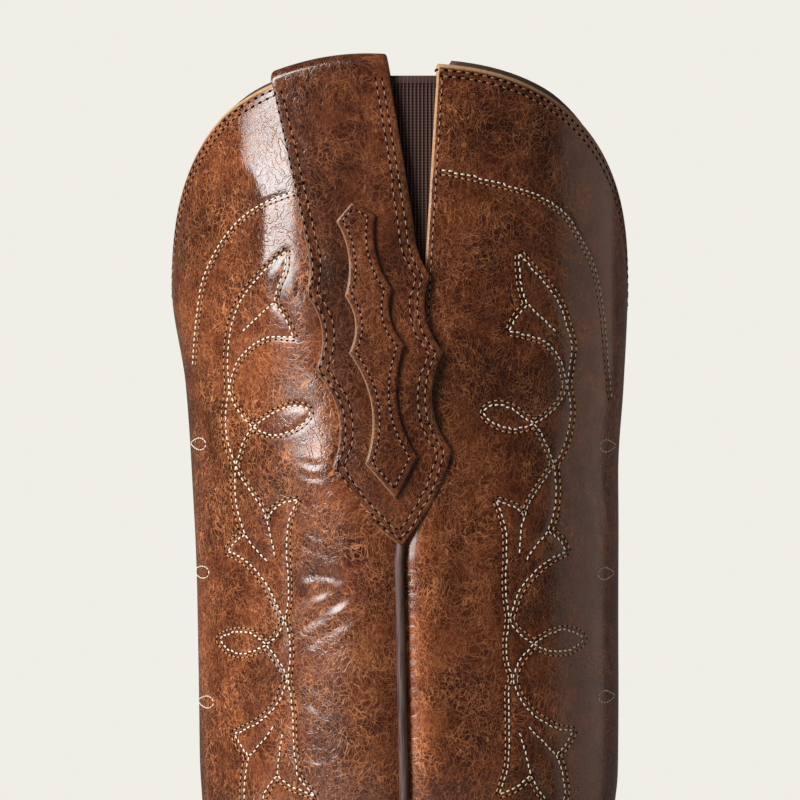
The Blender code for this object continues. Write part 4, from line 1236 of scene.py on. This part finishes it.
# Welt: a strip of sole leather that runs right round between the upper and the outsole, its edge stained dark
# and waxed. The outsole is sewn to it from the arch round the toe.
SOLE_LINE = line_through(
    (-220, -204, -174, -139, -109, -84, -44, -15, 10, 40, 70),
    (14, 8.5, 2.4, 0, 0, 5, 19.5, 29.8, 36.6, 40.6, 42.4),
)
SOLE_MARGIN = line_through(range(16), (5, 5, 5, 5, 5, 5, 5, 5, 4.5, 3.6, 2.8, 2.4, 2.4, 2.4, 2.4, 2.4))
SOLE_X, SOLE_HALF, SOLE_MIDDLE = [SECTION_LINES[column] for column in (2, 5, 7)]
WELT_FOOT = 5.3
WELT_THICK = 3.0
WELT_INSIDE = -8.0
WELT_OUT = (-0.5, -0.12, 0, 0, -0.12, -0.5, 0, 0)
WELT_UP = (WELT_THICK, 2.88, 2.5, 0.5, 0.12, 0, 0, WELT_THICK)
WELT_STAIN = (0.6, 1, 1, 1, 1, 1, 0, 0, 0.6)


def sole_edge(row, margin):
    """x and half width of the sole's outline at foot rows, set out from the upper by margins."""
    low, high = np.maximum(row - 0.001, 0), np.minimum(row + 0.001, LAST_FOOT_ROW)
    along = SOLE_X(high) - SOLE_X(low)
    out = SOLE_HALF(high) - SOLE_HALF(low)
    length = np.hypot(along, out)
    half = np.maximum(SOLE_HALF(row) + margin * along / length, 0.6)
    return SOLE_X(row) - margin * out / length, half


def sole_points(row, side, margin, height):
    """Points over the sole's underside, at margins out from the upper and heights."""
    x, half = sole_edge(row, margin)
    return np.stack([x, SOLE_MIDDLE(row) + side * half, SOLE_LINE(x) + height], axis=-1)


def stained_leather(name, edge_dark, edge_light, face_dark, face_light):
    """Firm sole leather: a stained, waxed edge where the piece says so, and a plainer face."""
    finish, tree, shader = new_finish(name)
    place = object_place(tree)
    fibres = speckled(tree, stretched(tree, place, (60.0, 60.0, 1500.0)), 1.0, 4.0)
    clouds = speckled(tree, place, 70.0, 6.0)
    pores = speckled(tree, place, 1300.0, 3.0)
    edge = graded(tree, "edge")
    stain = tinted(tree, fibres, 0.3, 0.7, edge_dark, edge_light)
    face = tinted(tree, clouds, 0.32, 0.68, face_dark, face_light)
    tree.links.new(blend_colours(tree, edge, face, stain), shader.inputs["Base Color"])
    tree.links.new(spread(tree, edge, 0, 1, 0.62, 0.36), shader.inputs["Roughness"])
    emboss(tree, shader, blend_colours(tree, edge, pores, fibres), 0.45, 0.0002)
    return finish


sole_leather = stained_leather(
    "sole_leather",
    edge_dark=(0.05, 0.02, 0.009, 1),
    edge_light=(0.12, 0.055, 0.026, 1),
    face_dark=(0.26, 0.14, 0.066, 1),
    face_light=(0.4, 0.24, 0.125, 1),
)
sole_rows = np.concatenate([np.linspace(0, 3, 28), np.linspace(3.1, 12, 64), np.linspace(12.1, 15, 30)])
loop = np.concatenate([sole_rows, sole_rows[::-1]])[:, None]
side = np.where(np.arange(len(loop)) < len(sole_rows), -1.0, 1.0)[:, None]
margin = SOLE_MARGIN(loop) + np.array(WELT_OUT)
margin[:, 6:] = WELT_INSIDE
strip = sole_points(loop + 0 * margin, side, margin, WELT_FOOT + np.array(WELT_UP))
strip = np.concatenate([strip, strip[:1]])
form = sheet(come_round(strip))
grade(form, "edge", np.broadcast_to(WELT_STAIN, (len(strip), len(WELT_STAIN))))
merge_corners(form)
face_out(form)
welt_skin = BVHTree.FromBMesh(form)
welt = add_piece("welt_strip", form, sole_leather)
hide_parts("welt")

# Outsole: one thick plate of sole leather, sewn to the welt, with its edge rounded, stained dark and waxed.
# Its underside is left natural.
SOLE_OUT = (-1.6, -0.4, -0.06, 0, 0, -0.25, -0.9, -6.0)
SOLE_UP = (5.0, 5.0, 4.78, 4.4, 0.9, 0.25, 0, 0)
SOLE_STAIN = (0.5, 1, 1, 1, 1, 0.9, 0.25, 0)
row = sole_rows[:, None]
margin = SOLE_MARGIN(row) + np.array(SOLE_OUT)
halves = [sole_points(row + 0 * margin, side, margin, np.array(SOLE_UP)) for side in (-1.0, 1.0)]
form = sheet(come_round(np.concatenate([halves[0], halves[1][:, ::-1]], axis=1)))
stains = SOLE_STAIN + SOLE_STAIN[::-1] + SOLE_STAIN[:1]
grade(form, "edge", np.broadcast_to(stains, (len(sole_rows), len(stains))))
close_tube(form)
face_out(form)
outsole = add_piece("sole_plate", form, sole_leather)
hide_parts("outsole")

# Heel: lifts of sole leather glued and nailed in a stack, cut back and in towards the floor, stained dark and
# polished, on a top lift of black rubber.
HEEL_DROPS = (0, 0.3, 0.65, 1)
HEEL_BREAST = line_through(HEEL_DROPS, (4, 4.8, 5.6, 6.5))
HEEL_BACK = line_through(HEEL_DROPS, (65.5, 62, 58.6, 56))
HEEL_HALF = line_through(HEEL_DROPS, (31, 28.6, 26.8, 26))
HEEL_LAP = 0.3
LIFT_THICK = 5.2
TOP_LIFT_THICK = 6.0
TOP_LIFT_RINGS = ((TOP_LIFT_THICK, 0.3), (5.85, 0.08), (5.5, 0.0), (0.8, 0.0), (0.25, 0.15), (0.0, 0.6))

heel_leather, tree, shader = new_finish("heel_leather")
place = object_place(tree)
fibres = speckled(tree, stretched(tree, place, (50.0, 50.0, 1200.0)), 1.0, 4.0)
level = put(tree, "ShaderNodeSeparateXYZ", {0: place}).outputs[2]
share = reckon(tree, "FRACT", reckon(tree, "DIVIDE", level, LIFT_THICK * MM))
joint = spread(tree, reckon(tree, "SUBTRACT", share, 0.5), 0.44, 0.5, 0, 1)
polished = tinted(tree, fibres, 0.3, 0.7, (0.045, 0.018, 0.008, 1), (0.125, 0.056, 0.026, 1))
colour = blend_colours(tree, joint, polished, (0.012, 0.006, 0.004, 1))
tree.links.new(colour, shader.inputs["Base Color"])
height = reckon(tree, "SUBTRACT", reckon(tree, "MULTIPLY", fibres, 0.3), joint)
emboss(tree, shader, height, 0.5, 0.0002)
shader.inputs["Roughness"].default_value = 0.34

heel_rubber, tree, shader = new_finish("heel_rubber")
specks = speckled(tree, object_place(tree), 700.0, 4.0)
colour = tinted(tree, specks, 0.35, 0.7, (0.006, 0.0055, 0.0055, 1), (0.018, 0.016, 0.016, 1))
tree.links.new(colour, shader.inputs["Base Color"])
emboss(tree, shader, specks, 0.4, 0.0002)
shader.inputs["Roughness"].default_value = 0.7

swept = np.linspace(0, QUARTER, 22)
heel_along = np.concatenate([[0, 0, 0.004, 0.014, 0.05, 0.15, 0.25, 0.38], 0.5 + 0.5 * np.sin(swept)])
heel_along = np.concatenate([heel_along, heel_along[::-1]])
heel_wide = np.maximum(np.cos(swept), 0) ** 0.8
heel_wide[-1] = 0.02
heel_wide = np.concatenate([[0.5, 0.94, 0.962, 0.97, 0.978, 0.99, 1, 1], heel_wide])
heel_wide = np.concatenate([-heel_wide, heel_wide[::-1]])


def heel_ring(drop, shrink):
    """Plan of the heel at a drop from its seat to its foot, drawn in by a shrink."""
    middle = (HEEL_BREAST(drop) + HEEL_BACK(drop)) / 2
    x = HEEL_BREAST(drop) + heel_along * (HEEL_BACK(drop) - HEEL_BREAST(drop))
    keep = 1 - shrink / HEEL_HALF(drop)
    return middle + (x - middle) * keep, HEEL_HALF(drop) * heel_wide * keep


rings = []
for drop in np.linspace(0, 1, 15):
    x, y = heel_ring(drop, 0.0)
    seat = SOLE_LINE(x) - HEEL_LAP
    rings.append(np.stack([x, y, seat + drop * (TOP_LIFT_THICK + HEEL_LAP - seat)], axis=1))
stack = add_piece("heel_lifts", filled_tube(np.array(rings)), heel_leather)
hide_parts("heel_stack")

rings = []
for z, shrink in TOP_LIFT_RINGS:
    x, y = heel_ring(1.0, shrink)
    rings.append(np.stack([x, y, np.full_like(x, z)], axis=1))
top_lift = add_piece("rubber_lift", filled_tube(np.array(rings)), heel_rubber)
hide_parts("heel_top_lift")

# Insole: a board of natural leather inside the boot, on the welt's inner edge, with the filler under it. Its
# solid is right as it is and takes a finish alone.
insole_leather, tree, shader = new_finish("insole_leather")
place = object_place(tree)
clouds = speckled(tree, place, 50.0, 6.0)
pores = speckled(tree, place, 1500.0, 3.0)
colour = tinted(tree, clouds, 0.32, 0.68, (0.3, 0.17, 0.085, 1), (0.44, 0.27, 0.145, 1))
tree.links.new(colour, shader.inputs["Base Color"])
emboss(tree, shader, pores, 0.4, 0.0002)
shader.inputs["Roughness"].default_value = 0.66
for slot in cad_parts["insole"].material_slots:
    slot.material = insole_leather

# Stitching: cream thread in the scrolls with a tan row beside it, dark rows at the raw edges and paler ones
# on the straps, and a thick tan row round the welt. Every stitch lies between two pierced holes, each drawn
# as a flat black mark of painted shade. Each kind has its pitch, length and width, and its holes' width.
SCROLL_STITCH = (2.1, 1.5, 0.58, 0.72)
BESIDE_STITCH = (2.1, 1.4, 0.46, 0.85)
DROP_STITCH = (1.9, 1.5, 0.44, 0)
COLLAR_STITCH = (2.85, 1.6, 0.5, 1.1)
GORE_STITCH = (2.6, 1.7, 0.42, 0.75)
STRAP_STITCH = (2.95, 1.8, 0.36, 0.95)
PATCH_STITCH = (2.15, 1.2, 0.36, 0.95)
OVERLAY_STITCH = (2.4, 1.7, 0.55, 0.6)
WELT_STITCH = (3.2, 2.5, 0.8, 0.9)
BESIDE_GAP = 1.2
COLLAR_INSETS = ((1.9, 0.0), (3.8, 0.5))
GORE_INSET = 1.8
GORE_ROW_ENDS = (330, 417)
STRAP_ROW_TOP = 7
PATCH_INSET = 2.2
OVERLAY_INSETS = (1.9, 3.7)
COUNTER_ROW_END = 62
WELT_INSET = 1.5
WELT_ROW_END = 9.6


def thread_finish(name, dark, light):
    """Twisted waxed thread."""
    finish, tree, shader = new_finish(name)
    twist = speckled(tree, object_place(tree), 2600.0, 1.0)
    tree.links.new(tinted(tree, twist, 0.3, 0.7, dark, light), shader.inputs["Base Color"])
    emboss(tree, shader, twist, 0.3, 0.0001)
    shader.inputs["Roughness"].default_value = 0.6
    return finish


cream_thread = thread_finish("cream_thread", (0.52, 0.42, 0.3, 1), (0.86, 0.78, 0.64, 1))
tan_thread = thread_finish("tan_thread", (0.3, 0.15, 0.065, 1), (0.55, 0.32, 0.16, 1))
brown_thread = thread_finish("brown_thread", (0.15, 0.07, 0.035, 1), (0.36, 0.2, 0.105, 1))
rose_thread = thread_finish("rose_thread", (0.16, 0.085, 0.06, 1), (0.4, 0.26, 0.2, 1))
# The holes: flat near-black balls with no shine laid on the leather, painted shade where the pierced holes
# are.
painted_hole_shade = thread_finish("painted_hole_shade", (0.004, 0.002, 0.0015, 1), (0.012, 0.006, 0.004, 1))
painted_hole_shade.node_tree.nodes["Principled BSDF"].inputs["Specular IOR Level"].default_value = 0.0


def small_ball(name, around, high, tip):
    """A ball of few faces, one unit across, with its poles tipped over."""
    form = bmesh.new()
    bmesh.ops.create_uvsphere(form, u_segments=around, v_segments=high, radius=0.5)
    bmesh.ops.rotate(form, cent=(0, 0, 0), matrix=Matrix.Rotation(tip, 3, "Y"), verts=form.verts)
    mesh = bpy.data.meshes.new(name)
    form.to_mesh(mesh)
    form.free()
    return mesh


one_stitch = small_ball("one_stitch", 6, 4, QUARTER)
one_hole = small_ball("one_hole", 8, 2, 0)


def beside(points, gap):
    """A run of the side view set off to the left of its way by a gap."""
    way = np.gradient(points, axis=0)
    way /= np.maximum(np.linalg.norm(way, axis=1, keepdims=True), 1e-9)
    return points + gap * np.stack([-way[:, 1], way[:, 0]], axis=1)


def lay_points(points, skin):
    """Spots on a skin nearest to points of the frame, and its outward directions there."""
    found = [skin.find_nearest(Vector(spot)) for spot in points]
    return np.array([hit[0] for hit in found]), np.array([hit[1] for hit in found])


def lay(points, side, skin, lift=1.0):
    """A run of the side view laid on a skin: its spots and outward directions."""
    return lay_points(to_frame(over_side(points[:, 0], points[:, 1], side, lift)), skin)


def frames_at(run, gone, at, size, lift):
    """Places and directions of stitches or holes at distances along a laid run."""
    spots, outs = run

    def walk(values, distances):
        return np.stack([np.interp(distances, gone, values[:, axis]) for axis in range(3)], axis=1)

    out = walk(outs, at)
    out /= np.linalg.norm(out, axis=1, keepdims=True)
    along = walk(spots, at + 0.0004) - walk(spots, at - 0.0004)
    across = np.cross(out, along)
    across /= np.maximum(np.linalg.norm(across, axis=1, keepdims=True), 1e-12)
    along = np.cross(across, out)
    parts = [along * size[0] * MM, across * size[1] * MM, out * size[2] * MM]
    return np.stack([walk(spots, at) + out * lift * MM, *parts], axis=1)


def sew(threads, holes, run, pitch, length, width, hole, shift=0.0):
    """Stitches along a laid run, with a hole at each of their ends."""
    gone = np.concatenate([[0], np.cumsum(np.linalg.norm(np.diff(run[0], axis=0), axis=1))])
    count = max(int(round(gone[-1] / (pitch * MM))), 1)
    ends = gone[-1] * np.arange(shift, count + 1 - shift) / count
    threads.append(frames_at(run, gone, (ends[1:] + ends[:-1]) / 2, (length, width, 0.8 * width), 0.06))
    if hole:
        holes.append(frames_at(run, gone, ends, (1.4 * hole, 0.75 * hole, 0.2), 0.0))


def add_stitches(name, shape, frames, finish):
    """All stitches of a kind, or all holes, as one joined mesh."""
    frames = np.concatenate(frames)
    corners = np.array([corner.co for corner in shape.vertices])
    places = frames[:, None, 0] + np.einsum("cp,npa->nca", corners, frames[:, 1:])
    faces = [list(face.vertices) for face in shape.polygons]
    starts = range(0, len(frames) * len(corners), len(corners))
    joined = [[start + corner for corner in face] for start in starts for face in faces]
    mesh = bpy.data.meshes.new(name)
    mesh.from_pydata(places.reshape(-1, 3), [], joined)
    mesh.shade_smooth()
    mesh.materials.append(finish)
    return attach(add_to_scene(name, mesh), "root")


def teardrop(middle, point):
    """A small drop: a round run drawn to a point."""
    angle = np.linspace(0, math.tau, 25)
    reach = 2.1 + 0.9 * np.maximum(np.cos(angle), 0) ** 6
    return np.stack([middle[0] + point * reach * np.cos(angle), middle[1] + 1.9 * np.sin(angle)], axis=1)


def collar_run(side, line, middle, inset):
    """Points along half a panel's collar, at an inset under its edge."""
    start = edge_turn(lambda turn: row_at(collar_height(turn) - inset), line, 1)[0, 0]
    turn = np.linspace(start, middle, 300) * side
    step = np.linalg.norm(np.gradient(wall(row_at(collar_height(turn)), turn), axis=0), axis=1)
    slope = np.gradient(collar_height(turn)) / np.maximum(step, 1e-6)
    rows = row_at(collar_height(turn) - inset / np.sqrt(np.maximum(1 - slope**2, 0.15)))
    return to_frame(wall(rows, turn))


for name, side in SIDES:
    cream, tan, brown, rose, holes = [], [], [], [], []
    panels = ((front_skin, FRONT_SCROLL, FRONT_DROPS, -1), (back_skin, BACK_SCROLL, BACK_DROPS, 1))
    for skin, scroll, drops, point in panels:
        for hand, points in scroll:
            line = smooth_line(points, 0.5)
            sew(cream, holes, lay(line, side, skin), *SCROLL_STITCH)
            if hand:
                sew(tan, holes, lay(beside(line, BESIDE_GAP * hand), side, skin), *BESIDE_STITCH)
        for drop in drops:
            sew(cream, holes, lay(teardrop(drop, point), side, skin), *DROP_STITCH)
    for skin, line, middle in ((front_skin, notch_front, 0.0), (back_skin, notch_back, math.pi)):
        for inset, shift in COLLAR_INSETS:
            run = lay_points(collar_run(side, line, middle, inset), skin)
            sew(brown, holes, run, *COLLAR_STITCH, shift)
    z = np.linspace(*GORE_ROW_ENDS, 150)
    run = lay(np.stack([notch_back(z) + GORE_INSET, z], axis=1), side, back_skin)
    sew(rose, holes, run, *GORE_STITCH)
    for row in STRAP_ROWS:
        for edge_side in (-1, 1):
            down = outline_stations(STRAP_EDGE, 1.0)
            down = down[(down > STRAP_ROW_TOP) & (scalloped(STRAP_EDGE, down) > row + 0.2)]
            x, z = strap_place(down, edge_side * (scalloped(STRAP_EDGE, down) - row))
            run = lay(np.stack([x, z], axis=1), side, strap_skins[side], 4.0 + stand_off(x))
            sew(rose, holes, run, *STRAP_STITCH)
    for edge_side in (-1, 1):
        down = outline_stations(PATCH_EDGE, 0.8)
        down = down[scalloped(PATCH_EDGE, down) > PATCH_INSET + 0.2]
        x, z = strap_place(down, edge_side * (scalloped(PATCH_EDGE, down) - PATCH_INSET))
        run = lay(np.stack([x, z], axis=1), side, patch_skins[side], 6.0 + stand_off(x))
        sew(rose, holes, run, *PATCH_STITCH)
    for inset in OVERLAY_INSETS:
        line = smooth_line(VAMP_LINE[1:], 1.0)
        sew(brown, holes, lay(beside(line, -inset), side, vamp_skin), *OVERLAY_STITCH)
        line = beside(smooth_line(COUNTER_LINE, 1.0), -inset)
        sew(brown, holes, lay(line[line[:, 0] < COUNTER_ROW_END], side, counter_skin), *OVERLAY_STITCH)
    row = np.linspace(0.0, WELT_ROW_END, 400)
    spots = sole_points(row, float(side), SOLE_MARGIN(row) - WELT_INSET, WELT_FOOT + WELT_THICK + 0.5)
    sew(tan, holes, lay_points(to_frame(spots), welt_skin), *WELT_STITCH)
    add_stitches(f"cream_stitches_{name}", one_stitch, cream, cream_thread)
    add_stitches(f"tan_stitches_{name}", one_stitch, tan, tan_thread)
    add_stitches(f"brown_stitches_{name}", one_stitch, brown, brown_thread)
    add_stitches(f"rose_stitches_{name}", one_stitch, rose, rose_thread)
    add_stitches(f"painted_hole_shadows_{name}", one_hole, holes, painted_hole_shade)
